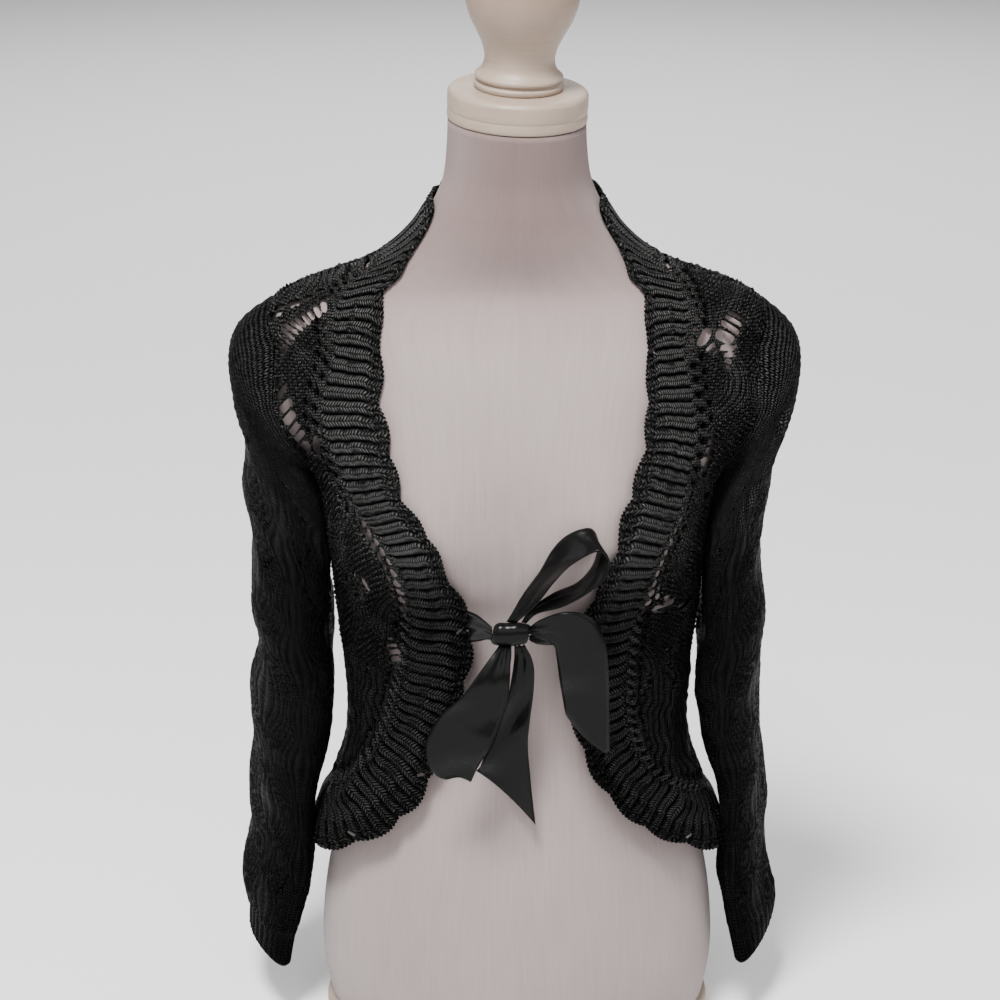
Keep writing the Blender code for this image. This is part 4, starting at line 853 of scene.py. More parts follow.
def makeBorder(name, table, ribs, node):
    # ribs are rounded ridges across the band: 1 less the seventh power of the distance from a rib's middle.
    # The free edge is a beaded strip with scallops, a sine over four ribs, and small teeth, three to a rib
    count = ribs * border["columns"]
    p, q = np.meshgrid(np.linspace(0, ribs * border["ribWide"], count + 1),
                       np.linspace(-border["lap"], border["across"] * 1.09, border["rows"]))
    rib = p / border["ribWide"]
    wave = np.abs(np.sin(np.pi * rib / border["scallopRibs"])) - 0.5
    teeth = np.abs(np.sin(np.pi * rib * 3)) - 0.5
    edge = border["across"] + border["scallop"] * wave + border["tooth"] * teeth
    depth = np.minimum(np.minimum((edge - q) * 0.93, q + border["lap"]), np.minimum(p, p[0, -1] - p))
    valleys = np.arange(0, ribs + 1, border["scallopRibs"])[1:-1]
    holes = [((x + 0.25) * border["ribWide"], border["across"] * 0.80,
              (x - 0.1) * border["ribWide"], border["across"] * (0.86 + 0.02 * chance(i, 5)), border["hole"])
             for i, x in enumerate(valleys) if chance(i, len(name)) > 0.55]
    depth = np.minimum(depth, holeDepth(p, q, holes))
    p, q, depth, tri = clipGrid(p, q, depth)
    rib, t = p / border["ribWide"], q / border["across"]
    # the grooves bow along the band and close round both ends of each rib
    bent = rib - 0.26 * softStep((t - 0.72) / 0.16) + 0.30 * softStep((0.15 - t) / 0.18)
    f = np.modf(bent + 1)[0]
    number = np.floor(bent)
    ridge = 1 - np.abs(2 * f - 1) ** 7
    ends = softStep((t - 0.015) / 0.06) * softStep((0.83 + 0.03 * chance(number, 2) - t) / 0.07)
    beads = beadField(bent * border["ribWide"] * 1.02, q, border["beadWide"], border["beadTall"])
    beads = beads * (0.6 + 0.8 * chance(np.floor(bent * 3), np.floor(t * 15)))
    lip = border["lip"] * softStep((t - 0.95) / 0.03)
    ribRise = border["rise"] * (0.75 + 0.5 * chance(number, 11))
    strand = border["strand"] * bell((np.abs(2 * f - 1) - 0.66) / 0.13)
    inRib = ribRise * ridge - border["groove"] * (1 - ridge) + strand
    relief = ends * inRib + (1 - ends) * (beads * border["bead"] - 0.0004 + lip)
    relief = relief * softStep((q + border["lap"]) / 0.003)
    # painted shade in the grooves between the ribs and between the edge's beads, darker lower down
    paintedShade = np.clip(ends * (1 - ridge) * 1.5 + (1 - ends) * (0.7 - 1.3 * beads), 0, 1)
    turn, height, curl = borderPlace(table, ribs, rib, t)
    paintedShade = paintedShadeLower(paintedShade, height)
    base = clothInside(turn, height)
    normal = clothNormal(turn, height)
    flare = border["flare"] * softStep(t / 0.3) * softStep((np.abs(turnWithin(turn)) - 45) / 30)
    flare = flare * softStep((0.26 - height) / 0.04)
    base = base + normal * (curl + flare)[:, None]
    # in the ribs the stitches are drawn as one row of long slanting strands on each side of the rib's middle
    chartX = (number + np.where(f < 0.5, 0.74 * f, 1 - 0.74 * (1 - f)) + 0.03) * yarn["stitchWide"]
    chartY = q * 1.12 - 0.0020 * np.abs(2 * f - 1)
    shell = shellMesh(p, q, depth, tri, base, normal, relief, paintedShade=paintedShade, chart=(chartX, chartY))
    return knitPiece(name, shell, node)


borderPieces = {
    "frontRight": makeBorder("borderFrontRight", borderRight, border["frontRibs"], "border_front_right"),
    "frontLeft": makeBorder("borderFrontLeft", borderLeft, border["frontRibs"], "border_front_left"),
    "neck": makeBorder("borderNeck", borderNeck, border["neckRibs"], "border_neck"),
    "hem": makeBorder("borderHem", borderHem, border["hemRibs"], "border_hem"),
}
print("borders made")

armholeShape = {"height": 0.541, "tall": 0.066, "halfTurn": 13.0, "shoulderEnd": 0.641}
# between openings: the strand left, how far widths may change for it, and how near two must lie for a
# thread between them and how far it runs past them. Beside the border, those that go through lie within a
# reach of the bust or above a height
openings = {"strand": 1.3, "least": 0.9, "most": 1.4, "besideGap": 0.0018, "endGap": 0.0050,
            "threadPast": 0.0014, "bust": 0.432, "reach": 0.048, "topFrom": 0.572, "eyeletStrand": 0.0021}
# each opening in millimetres of the lace: u, v of one end, of the other, and width
openingsRight = np.array((
    (-176.6, 478.6, -159.0, 482.6, 3.4), (-151.5, 484.8, -142.8, 487.6, 3.3),
    (-135.6, 491.7, -129.5, 494.8, 2.7), (-123.2, 500.8, -118.7, 504.4, 2.0),
    (-185.2, 473.8, -163.9, 476.5, 2.6), (-198.9, 469.8, -170.2, 473.8, 2.6),
    (-197.8, 468.4, -181.7, 469.8, 2.0), (-118.8, 492.3, -116.9, 485.3, 3.9),
    (-125.4, 486.9, -121.3, 480.8, 3.9), (-131.7, 482.3, -126.9, 477.9, 3.5),
    (-137.6, 479.4, -130.0, 473.8, 3.1), (-143.8, 475.2, -133.4, 471.1, 3.3),
    (-148.4, 472.5, -136.8, 468.4, 2.9), (-155.2, 469.8, -142.6, 465.6, 3.1),
    (-161.0, 467.0, -149.5, 461.3, 2.9), (-169.1, 462.8, -156.4, 456.9, 2.9),
    (-177.1, 458.4, -162.1, 452.5, 2.7), (-185.2, 454.0, -165.6, 446.9, 2.4),
    (-187.5, 446.9, -169.1, 444.1, 1.8), (-187.5, 442.7, -172.5, 440.0, 1.4),
    (-178.2, 424.7, -172.5, 427.5, 4.3), (-174.8, 416.5, -167.9, 422.0, 4.3),
    (-172.5, 404.5, -164.4, 411.1, 4.7), (-173.7, 392.8, -164.4, 400.6, 4.7),
    (-175.9, 381.3, -163.3, 391.5, 4.3), (-180.5, 371.2, -163.3, 383.8, 4.3),
    (-190.9, 354.9, -166.8, 372.4, 7.1), (-192.1, 347.5, -192.1, 347.5, 4.6),
    (-162.1, 364.9, -152.9, 377.5, 4.7), (-147.2, 385.1, -144.9, 381.3, 3.3),
    (-148.4, 377.5, -148.4, 376.2, 1.6), (-114.0, 496.5, -114.0, 496.5, 3.5),
    (-193.2, 294.1, -195.5, 292.9, 2.7), (-193.2, 288.0, -193.2, 286.8, 2.2),
    (-195.5, 280.7, -195.5, 278.2, 2.2), (-185.2, 275.7, -184.0, 273.2, 2.7),
    (-174.8, 269.5, -173.7, 269.5, 2.7), (-166.8, 265.8, -165.6, 265.8, 2.4),
    (-149.0, 260.9, -147.5, 260.9, 6.8), (-134.7, 267.1, -133.0, 265.8, 5.0),
    (-134.4, 257.4, -124.3, 254.0, 6.6), (-123.2, 266.5, -117.0, 262.6, 4.4),
    (-157.5, 254.7, -156.4, 254.7, 2.2), (-134.6, 251.0, -127.6, 252.3, 1.4),
    (-102.3, 220.6, -97.8, 221.8, 1.4), (-103.5, 214.6, -94.3, 217.0, 1.8),
    (-101.2, 209.7, -92.0, 212.1, 3.9), (-100.0, 203.7, -92.0, 206.1, 3.1),
    (-98.9, 197.6, -93.1, 198.8, 2.2), (-130.0, 191.5, -128.8, 191.5, 3.1),
    (-131.1, 186.7, -131.1, 185.5, 2.7),
))
openingsLeft = np.array((
    (135.8, 480.8, 150.7, 473.8, 2.2), (131.5, 477.9, 144.9, 471.1, 2.8),
    (127.6, 473.8, 143.8, 465.6, 3.3), (125.3, 465.6, 139.2, 459.8, 8.2),
    (133.4, 454.0, 144.9, 452.5, 4.5), (139.2, 446.9, 147.2, 446.9, 4.1),
    (141.5, 442.7, 146.1, 441.3, 3.1), (143.8, 437.2, 144.9, 437.2, 2.7),
    (147.2, 455.4, 148.4, 454.0, 2.2), (112.7, 461.3, 113.8, 467.0, 6.3),
    (120.8, 454.0, 123.0, 456.9, 3.3), (127.6, 448.3, 128.8, 451.1, 1.8),
    (145.0, 382.5, 149.5, 380.5, 1.9), (146.0, 376.5, 154.0, 372.5, 2.6),
    (146.5, 369.5, 158.0, 363.5, 3.4), (146.5, 359.5, 158.0, 353.5, 5.2),
    (148.0, 349.5, 155.5, 346.0, 3.0), (105.8, 247.4, 127.6, 247.4, 3.7),
    (116.2, 253.5, 121.9, 252.3, 2.9), (134.6, 240.0, 159.8, 240.0, 2.7),
    (148.4, 246.1, 155.2, 244.9, 1.6), (105.8, 243.7, 119.6, 240.0, 1.4),
    (126.5, 204.9, 133.4, 204.9, 1.8), (128.8, 197.6, 135.7, 197.6, 1.8),
    (130.0, 191.5, 136.8, 191.5, 1.8), (130.0, 185.5, 139.2, 185.5, 2.0),
    (143.8, 270.8, 144.9, 269.5, 2.7), (144.9, 264.6, 148.4, 264.6, 2.4),
    (163.3, 325.5, 179.4, 324.3, 3.1), (171.3, 305.0, 175.9, 305.0, 2.0),
    (130.0, 190.3, 136.8, 191.5, 2.0), (131.1, 184.3, 139.2, 186.7, 2.0),
    (139.2, 171.0, 148.4, 175.8, 2.7), (107.0, 189.1, 109.2, 189.1, 2.0),
    (108.1, 184.3, 110.4, 184.3, 2.4), (104.6, 179.5, 111.5, 180.7, 1.6),
    (102.3, 175.8, 109.2, 177.0, 1.4), (102.3, 172.2, 108.1, 173.4, 1.0),
    (92.0, 175.8, 93.1, 174.6, 2.7), (89.7, 172.2, 90.8, 171.0, 1.6),
))


def armhole(around):
    # the +X armhole: around is 0 at the shoulder, 90 in front, 180 underneath
    angle = np.radians(around)
    turn = 90 - armholeShape["halfTurn"] * np.sin(angle)
    return turn, armholeShape["height"] + armholeShape["tall"] * np.cos(angle)


def halfOutline(side, front, seamHeight):
    # from the hem up the side seam, round half an armhole and along the shoulder
    up = np.linspace(seamHeight, armholeShape["height"] - armholeShape["tall"], 30)[:-1]
    around = np.linspace(180, 0, 33) * (1 if front else -1)
    turn, height = armhole(around)
    top = np.linspace(armholeShape["height"] + armholeShape["tall"], armholeShape["shoulderEnd"], 6)[1:-1]
    turns = np.concatenate([np.full(len(up), 90.0), turn, np.full(len(top), 90.0)])
    return side * turns, np.concatenate([up, height, top])


def eyeletsBeside(table, ribs, middle, rows):
    # holes beside the border, one to a rib: each row has its distance from the seam and its size by height.
    # A hole is both its ends in the lace, its width, its height at the seam and its row
    found = []
    for number, (away, shift, slant, sizes) in enumerate(rows):
        rib = np.arange(ribs) + shift
        at = atRibs(table, ribs, rib)
        seam = clothInside(at["seamTurn"], at["seamHeight"])
        wide = np.linalg.norm(clothInside(at["edgeTurn"], at["edgeHeight"]) - seam, axis=-1)
        heights, widths, lengths = np.array(sizes).T
        across = np.interp(at["seamHeight"], heights, widths) * 0.001
        long = np.interp(at["seamHeight"], heights, lengths) * 0.001
        across = across * (0.85 + 0.3 * chance(rib, away * 977))
        spacing = np.linalg.norm(np.gradient(seam, axis=0), axis=1)
        across = np.minimum(across, spacing - openings["eyeletStrand"])
        t = -(away + across / 2) / wide
        turn = at["seamTurn"] + (at["edgeTurn"] - at["seamTurn"]) * t
        height = at["seamHeight"] + (at["edgeHeight"] - at["seamHeight"]) * t
        place = laceOf(turn, height, middle)
        run = np.gradient(place, axis=0)
        run /= np.maximum(np.linalg.norm(run, axis=1, keepdims=True), 1e-9)
        keep = (across > 0.0011) & (rib > 1.2) & (rib < ribs - 1.2)
        inward = np.stack([-run[:, 1], run[:, 0]], 1) * slant
        run = run + inward
        run /= np.linalg.norm(run, axis=1, keepdims=True)
        half = run * long[:, None] / 2
        rest = np.stack([across, at["seamHeight"], np.full(ribs, number)], 1)
        found.append(np.concatenate([place - half, place + half, rest], 1)[keep])
    return np.concatenate(found)


knit = {"beadWide": 0.0046, "beadTall": 0.0040, "beadHigh": 0.0022, "waleWide": 0.0045, "waleHigh": 0.0018,
        "ribWide": 0.0078, "ribHigh": 0.0014, "waistTop": 0.345, "rim": 0.0006, "leafFrom": 0.0085}


def bodyRelief(u, v, depth, height):
    # leaves of rows of bumps swell between the ladders, dense bands carry wales beside them, and the waist
    # has wavy upright ribs; wales and ribs are cosines, and each opening has a rim, a bell. The second value
    # is painted shade: darkest deep in the hollows between bumps, wales and ribs, and darker lower down
    line = np.round(u / (lace["wide"] / 2))
    far = np.minimum.reduce([np.abs(u - ladderU(line + step, v)) for step in (-1, 0, 1)])
    waist = softStep((knit["waistTop"] - height) / 0.04)
    inLeaf = softStep((far - knit["leafFrom"]) / 0.003)
    beads = beadField(0.82 * u + 0.57 * v, 0.82 * v - 0.57 * u, knit["beadWide"], knit["beadTall"])
    beads = beads * (0.55 + 0.9 * chance(np.floor(u * 230), np.floor(v * 250)))
    leaf = inLeaf * (0.0002 + knit["beadHigh"] * beads)
    wale = wave((far - 0.0012) / knit["waleWide"])
    stitch = wave(v / 0.0043 + 0.5 * np.floor(far / knit["waleWide"]))
    bands = (1 - inLeaf) * (knit["waleHigh"] * (wale - 0.35) + 0.0005 * stitch * wale)
    wander = 0.0026 * np.sin(2 * np.pi * v / 0.047 + 1.3 * np.sin(u * 60))
    wander = wander + 0.0012 * np.sin(v * 310 + u * 90)
    upright = wave((u + wander) / knit["ribWide"])
    twist = wave((u + wander) / (2 * knit["ribWide"]) + v / 0.013)
    ribs = knit["ribHigh"] * upright**0.7 + 0.0005 * twist - 0.0006
    rim = knit["rim"] * bell((depth - 0.0011) / 0.0011)
    relief = (leaf + bands) * (1 - waist) + ribs * waist + rim
    deep = (inLeaf * (0.85 - 1.5 * beads) + (1 - inLeaf) * (0.95 - 1.6 * wale)) * (1 - waist)
    deep = (deep + waist * (0.95 - 1.7 * upright)) * softStep((depth - 0.0008) / 0.0016)
    return relief, paintedShadeLower(np.clip(deep, 0, 1), height)


def nearRows(p, q, rows):
    # distance to the nearest of many lines, less half its width
    far = np.full(p.shape, 1.0)
    for x1, y1, x2, y2, wide in rows:
        close = (np.abs(p - (x1 + x2) / 2) < 0.02) & (np.abs(q - (y1 + y2) / 2) < 0.02)
        here = nearLine(p[close], q[close], x1, y1, x2, y2) - wide / 2
        far[close] = np.minimum(far[close], here)
    return far


panel = {"margin": 0.004, "underlap": 0.0024, "frontStep": 0.0012, "backStep": 0.0022, "pitDeep": 0.0014,
         "strandHigh": 0.0020, "frontThread": 0.0006, "backThread": 0.00055}


def panelShell(outline, middle, step, opening, pits=(), strands=()):
    # the lace inside an outline, less its openings. Pits are hollows that don't go through and strands are
    # raised lines: bells of 1.2 and 1 mm beyond their width
    p, q = chartGrid(outline.min(0) - panel["margin"], outline.max(0) + panel["margin"], step)
    depth = np.minimum(outlineDepth(p, q, outline) + panel["underlap"], opening(p, q))
    p, q, depth, tri = clipGrid(p, q, depth)
    turn, height = placeOf(p, q, middle)
    relief, paintedShade = bodyRelief(p, q, depth, height)
    if len(pits) > 0:
        pit = bell(np.maximum(nearRows(p, q, pits), 0) / 0.0012)
        strand = bell(np.maximum(nearRows(p, q, strands), 0) / 0.0010)
        relief = (relief * (1 - pit) - panel["pitDeep"] * pit) * (1 - strand) + panel["strandHigh"] * strand
        # painted shade: the pits are darkest and the raised strands get none
        paintedShade = np.maximum(paintedShade, pit) * (1 - strand)
    base, normal = clothInside(turn, height), clothNormal(turn, height)
    return shellMesh(p, q, depth, tri, base, normal, relief, paintedShade=paintedShade)


def frontOutline(side, table):
    at = borderRows(table, ribStations(table, border["frontRibs"]))
    turn, height = halfOutline(side, True, at["seamHeight"][-1])
    return laceOf(np.append(at["seamTurn"][:-1], turn), np.append(at["seamHeight"][:-1], height), 0)


# a row: metres from the seam, place in the rib, slant, then seam height and, in millimetres, width and
# extra length
eyeletRows = (
    (0.0034, 0.5, 0.0, ((0.20, 1.9, 0.3), (0.37, 3.0, 0.6), (0.395, 6.6, 0.0), (0.465, 6.8, 0.0),
                        (0.49, 4.6, 0.8), (0.54, 2.8, 1.8), (0.62, 2.6, 2.2))),
    (0.0122, 1.0, 0.4, ((0.20, 1.7, 1.6), (0.38, 2.4, 1.8), (0.40, 5.4, 0.0), (0.465, 5.6, 0.0),
                        (0.50, 2.6, 2.6), (0.62, 2.0, 2.4))),
)
strandRow = (0.0022, 1.0, 1.15, ((0.20, 1.7, 8.5), (0.40, 1.4, 7.0), (0.47, 1.4, 7.0), (0.50, 2.2, 10.5),
                                 (0.62, 2.1, 10.0)))


def widened(listed):
    # each opening widened or narrowed until the right strand is left between it and the nearest beside it
    middle = (listed[:, :2] + listed[:, 2:4]) / 2
    fitted = listed.copy()
    for i, (u, v) in enumerate(middle):
        others = [float(nearLine(u, v, *row[:4])) for j, row in enumerate(listed) if j != i]
        fitted[i, 4] = np.clip(min(others) - openings["strand"], openings["least"] * listed[i, 4],
                               openings["most"] * listed[i, 4])
    return fitted


def frontHoles(table, listed):
    # the openings and the eyelets beside the border: those over the bust and the topmost go through, others
    # are pits. Then the strands that run out from the ends of the ribs
    eyelets = eyeletsBeside(table, border["frontRibs"], 0, eyeletRows)
    middle = (eyelets[:, :2] + eyelets[:, 2:4]) / 2
    far = [nearLine(middle[:, 0], middle[:, 1], *row[:4]) - row[4] / 2 for row in listed]
    eyelets = eyelets[np.min(far, axis=0) > eyelets[:, 4] / 2 + 0.0012]
    height = eyelets[:, 5]
    first = eyelets[:, 6] < 0.5
    overBust = np.abs(height - openings["bust"]) < openings["reach"]
    through = overBust | (first & (height > openings["topFrom"]))
    strands = eyeletsBeside(table, border["frontRibs"], 0, (strandRow,))
    return np.concatenate([listed, eyelets[through, :5]]), eyelets[~through, :5], strands[:, :5]


def bodyTubes(rungs, middle, radius):
    # threads in the middle of the cloth: each row is both ends of one in the lace
    def spot(u, v):
        place = placeOf(u, v, middle)
        up = clothNormal(*place)
        return clothInside(*place) + up * wall / 2, up

    one, up = spot(rungs[:, 0], rungs[:, 1])
    two, _ = spot(rungs[:, 2], rungs[:, 3])
    return tubes(one, two, up, radius, 0.0002)


def threadsBetween(listed):
    # a thread midway between each two openings that lie side by side and close together
    threads = []
    for i in range(len(listed)):
        for j in range(i + 1, len(listed)):
            one, two = listed[i], listed[j]
            a, b, c, d = one[:2], one[2:4], two[:2], two[2:4]
            if np.hypot(*(a - c)) + np.hypot(*(b - d)) > np.hypot(*(a - d)) + np.hypot(*(b - c)):
                c, d = d, c
            gap = np.hypot(*((a + b) / 2 - (c + d) / 2)) - (one[4] + two[4]) / 2
            alike = max(np.hypot(*(a - c)), np.hypot(*(b - d))) - (one[4] + two[4]) / 2
            if gap > openings["besideGap"] or alike > openings["endGap"]:
                continue
            start, end = (a + c) / 2, (b + d) / 2
            along = (end - start) / max(np.hypot(*(end - start)), 1e-6)
            reach = max(one[4], two[4]) / 2 + openings["threadPast"]
            threads.append(np.concatenate([start - along * reach, end + along * reach]))
    return np.array(threads)


def makeFront(name, side, table, listed, node):
    listed = widened(listed) * 0.001
    holes, pits, strands = frontHoles(table, listed)
    shell = panelShell(frontOutline(side, table), 0, panel["frontStep"], lambda p, q: holeDepth(p, q, holes),
                       pits, strands)
    threads = bodyTubes(threadsBetween(listed), 0, panel["frontThread"])
    return knitPiece(name, joined([shell, threads]), node)


frontRight = makeFront("frontRight", -1, borderRight, openingsRight, "front_right")
frontLeft = makeFront("frontLeft", 1, borderLeft, openingsLeft, "front_left")

# the back's openings: half length, half width, pitch of the rungs across and share of openings left out
backLace = {"half": 0.017, "wide": 0.0046, "rung": 0.0064, "dropped": 0.14}


def backOutline():
    neckRow = borderRows(borderNeck, ribStations(borderNeck, border["neckRibs"]))
    hemRow = borderRows(borderHem, ribStations(borderHem, border["hemRibs"]))
    left = halfOutline(1, False, hemRow["seamHeight"][0])
    right = halfOutline(-1, False, hemRow["seamHeight"][-1])
    turn = (hemRow["seamTurn"][1:-1][::-1], left[0], neckRow["seamTurn"], right[0][::-1] + 360)
    height = (hemRow["seamHeight"][1:-1][::-1], left[1], neckRow["seamHeight"], right[1][::-1])
    return laceOf(np.concatenate(turn), np.concatenate(height), 180)


def ladderLenses(lowU, highU, lowV, highV, wide, tall, half, most, dropped):
    # an opening at each steep part of each ladder: line, height of its middle, half length and half width
    found = []
    for line in range(int(math.floor(lowU / (wide / 2))) - 1, int(math.ceil(highU / (wide / 2))) + 2):
        first = int(math.floor(lowV / (tall / 2))) - 1
        for k in range(first, int(math.ceil(highV / (tall / 2))) + 2):
            middle = (k + 0.5) * tall / 2
            if chance(line * 1.0, k * 1.0) < dropped:
                continue
            size = 0.72 + 0.5 * chance(line + 0.5, k + 3.0)
            shift = 0.004 * (chance(line + 9.0, k * 2.0) - 0.5)
            found.append((line, middle + shift, half * min(size, 1.08), most * size))
    return found


def lensDepth(p, q, lenses, ladder):
    # distance to the nearest opening, whose half width is the full one times the root of 1 less s squared,
    # with s running from -1 to 1 up the opening
    far = np.full(p.shape, 1.0)
    for line, middle, half, wide in lenses:
        rows = np.abs(q[:, 0] - middle) < half + 0.006
        if not rows.any():
            continue
        v = q[rows]
        away = np.abs(p[rows] - ladder(line, v))
        s = (v - middle) / half
        inside = away - wide * np.sqrt(np.clip(1 - s * s, 0, 1))
        beyond = np.hypot(away, (np.abs(s) - 1) * half)
        far[rows] = np.minimum(far[rows], np.where(np.abs(s) < 1, inside * 0.85, beyond))
    return far


def lensRungs(lenses, ladder, pitch):
    # places of both ends of each rung across the openings, evenly spaced but for a small shift
    rows = []
    for line, middle, half, wide in lenses:
        count = max(int(2 * half / pitch), 2)
        number = np.arange(1, count)
        v = middle + (number / count * 2 - 1) * half + pitch * 0.16 * (chance(number, line) - 0.5)
        w = wide * np.sqrt(np.clip(1 - ((v - middle) / half) ** 2, 0, 1)) + 0.0012
        tilt = 0.0008 * (chance(line, middle * 997) - 0.5)
        u = ladder(line, v)
        rows.append(np.stack([u - w, v - tilt, u + w, v + tilt], 1))
    return np.concatenate(rows)


def lensesInside(lenses, outline, ladder, margin):
    # only openings whose ends and sides stay clear of the outline
    kept = []
    for line, middle, half, wide in lenses:
        v = middle + np.array((-1.0, -0.5, 0.0, 0.5, 1.0)) * half
        u = ladder(line, v)
        far = outlineDepth(u[None], v[None], outline)
        if far.min() > wide + margin:
            kept.append((line, middle, half, wide))
    return kept


def makeBack(name, node):
    outline = backOutline()
    (lowU, lowV), (highU, highV) = outline.min(0), outline.max(0)
    lenses = ladderLenses(lowU, highU, lowV + 0.02, highV - 0.03, lace["wide"], lace["tall"],
                          backLace["half"], backLace["wide"], backLace["dropped"])
    lenses = lensesInside(lenses, outline, ladderU, 0.004)
    shell = panelShell(outline, 180, panel["backStep"], lambda p, q: lensDepth(p, q, lenses, ladderU))
    rungs = bodyTubes(lensRungs(lenses, ladderU, backLace["rung"]), 180, panel["backThread"])
    return knitPiece(name, joined([shell, rungs]), node)


backPanel = makeBack("backPanel", "back")

# rings of the flattened sleeve down from the armhole: inner x, z, outer x, z, half depth, middle y, belly mm
sleeveLeft = np.array((
    (0.160, 0.475, 0.197, 0.607, 0.036, 0.002, 12), (0.164, 0.468, 0.2095, 0.5925, 0.036, 0.002, 17),
    (0.159, 0.454, 0.2170, 0.577, 0.041, 0.003, 15), (0.1548, 0.436, 0.2155, 0.552, 0.048, 0.004, 9),
    (0.1540, 0.418, 0.2090, 0.524, 0.053, 0.005, 4), (0.1530, 0.398, 0.2015, 0.493, 0.058, 0.006, -1),
    (0.1535, 0.376, 0.1980, 0.461, 0.058, 0.007, -3), (0.1525, 0.353, 0.1930, 0.428, 0.057, 0.008, -4),
    (0.1510, 0.330, 0.1940, 0.394, 0.056, 0.008, -4), (0.1500, 0.307, 0.1985, 0.358, 0.056, 0.008, -4),
    (0.1505, 0.284, 0.1972, 0.322, 0.055, 0.008, -4), (0.1530, 0.261, 0.1968, 0.288, 0.055, 0.009, -3),
    (0.1590, 0.238, 0.1990, 0.257, 0.054, 0.010, -2), (0.1665, 0.215, 0.2010, 0.228, 0.053, 0.012, 0),
    (0.1695, 0.192, 0.2045, 0.200, 0.051, 0.013, 0), (0.1700, 0.169, 0.2075, 0.173, 0.050, 0.014, 0),
    (0.1700, 0.146, 0.2075, 0.148, 0.048, 0.014, 0), (0.1715, 0.122, 0.2085, 0.122, 0.047, 0.013, 0),
    (0.1755, 0.097, 0.2130, 0.100, 0.045, 0.012, 0), (0.1805, 0.073, 0.2185, 0.081, 0.043, 0.011, 0),
    (0.1855, 0.050, 0.2165, 0.066, 0.042, 0.010, 0),
))
sleeveRight = np.array((
    (0.160, 0.475, 0.199, 0.607, 0.036, 0.002, 12), (0.164, 0.468, 0.2125, 0.5935, 0.036, 0.002, 17),
    (0.159, 0.454, 0.2205, 0.578, 0.041, 0.003, 16), (0.1552, 0.436, 0.2205, 0.553, 0.048, 0.004, 10),
    (0.1545, 0.418, 0.2150, 0.524, 0.053, 0.005, 5), (0.1537, 0.398, 0.2130, 0.493, 0.058, 0.006, 0),
    (0.1545, 0.376, 0.2155, 0.460, 0.057, 0.007, -2), (0.1535, 0.353, 0.2100, 0.426, 0.057, 0.008, -4),
    (0.1535, 0.330, 0.2115, 0.392, 0.057, 0.008, -5), (0.1535, 0.307, 0.2125, 0.357, 0.056, 0.008, -5),
    (0.1540, 0.284, 0.2080, 0.324, 0.055, 0.008, -5), (0.1560, 0.261, 0.2165, 0.290, 0.055, 0.009, -5),
    (0.1610, 0.238, 0.2190, 0.257, 0.054, 0.010, -4), (0.1675, 0.215, 0.2180, 0.229, 0.054, 0.012, -3),
    (0.1705, 0.192, 0.2225, 0.200, 0.053, 0.013, -3), (0.1715, 0.168, 0.2240, 0.172, 0.051, 0.014, -3),
    (0.1735, 0.144, 0.2245, 0.148, 0.049, 0.014, -3), (0.1775, 0.120, 0.2300, 0.123, 0.047, 0.013, -3),
    (0.1835, 0.096, 0.2320, 0.100, 0.045, 0.012, -3), (0.1895, 0.072, 0.2275, 0.077, 0.044, 0.011, -2),
    (0.1940, 0.048, 0.2280, 0.056, 0.043, 0.010, -2),
))
sleeveNames = ("innerX", "innerZ", "outerX", "outerZ", "halfDeep", "middleY", "belly")
sleeve = {"metresADegree": 0.00078, "step": 0.0021, "cuff": 0.026, "repeat": 0.094, "swing": 0.010,
          "apart": 0.0068, "half": 0.0021, "wide": 0.0014, "dropped": 0.2, "lean": 1.3, "capEnd": 0.10,
          "waleHigh": 0.0013, "beadHigh": 0.0009, "foldHigh": 0.6, "cuffRibs": 54, "clearCap": 0.035,
          "clearCuff": 0.02}
sleeveWide = 360 * sleeve["metresADegree"] / 3  # one repeat of the lace, three to the round
# creases: degrees round and metres down of one end, of the other, width and rise in millimetres
sleeveCreases = {
    1: ((60, 0.05, 95, 0.13, 11, 3.5), (130, 0.04, 160, 0.10, 9, 3.0), (35, 0.16, 120, 0.20, 10, 2.6),
        (70, 0.27, 150, 0.25, 10, 3.0), (40, 0.35, 118, 0.375, 11, 3.2), (85, 0.45, 160, 0.43, 10, 2.6),
        (50, 0.52, 110, 0.545, 9, 2.4), (215, 0.08, 290, 0.12, 11, 3.2), (240, 0.21, 320, 0.19, 10, 2.6),
        (205, 0.30, 270, 0.34, 11, 3.0), (235, 0.42, 310, 0.40, 10, 2.8), (210, 0.50, 280, 0.52, 9, 2.4)),
    -1: ((50, 0.06, 100, 0.12, 11, 3.4), (125, 0.05, 165, 0.11, 9, 3.0), (45, 0.19, 125, 0.17, 10, 2.8),
         (60, 0.25, 140, 0.28, 10, 3.0), (35, 0.37, 105, 0.35, 11, 3.0), (75, 0.43, 150, 0.46, 10, 2.8),
         (45, 0.54, 120, 0.52, 9, 2.4), (220, 0.10, 300, 0.08, 11, 3.2), (235, 0.19, 310, 0.22, 10, 2.8),
         (200, 0.33, 280, 0.31, 11, 3.0), (240, 0.40, 300, 0.43, 10, 2.6), (215, 0.52, 290, 0.50, 9, 2.4)),
}


def sleeveRun(table):
    # metres down the sleeve at each ring, along a line nearer its outer side
    x = 0.35 * table[:, 0] + 0.65 * table[:, 2]
    z = 0.35 * table[:, 1] + 0.65 * table[:, 3]
    return np.concatenate([[0], np.cumsum(np.hypot(np.diff(x), np.diff(z)))])


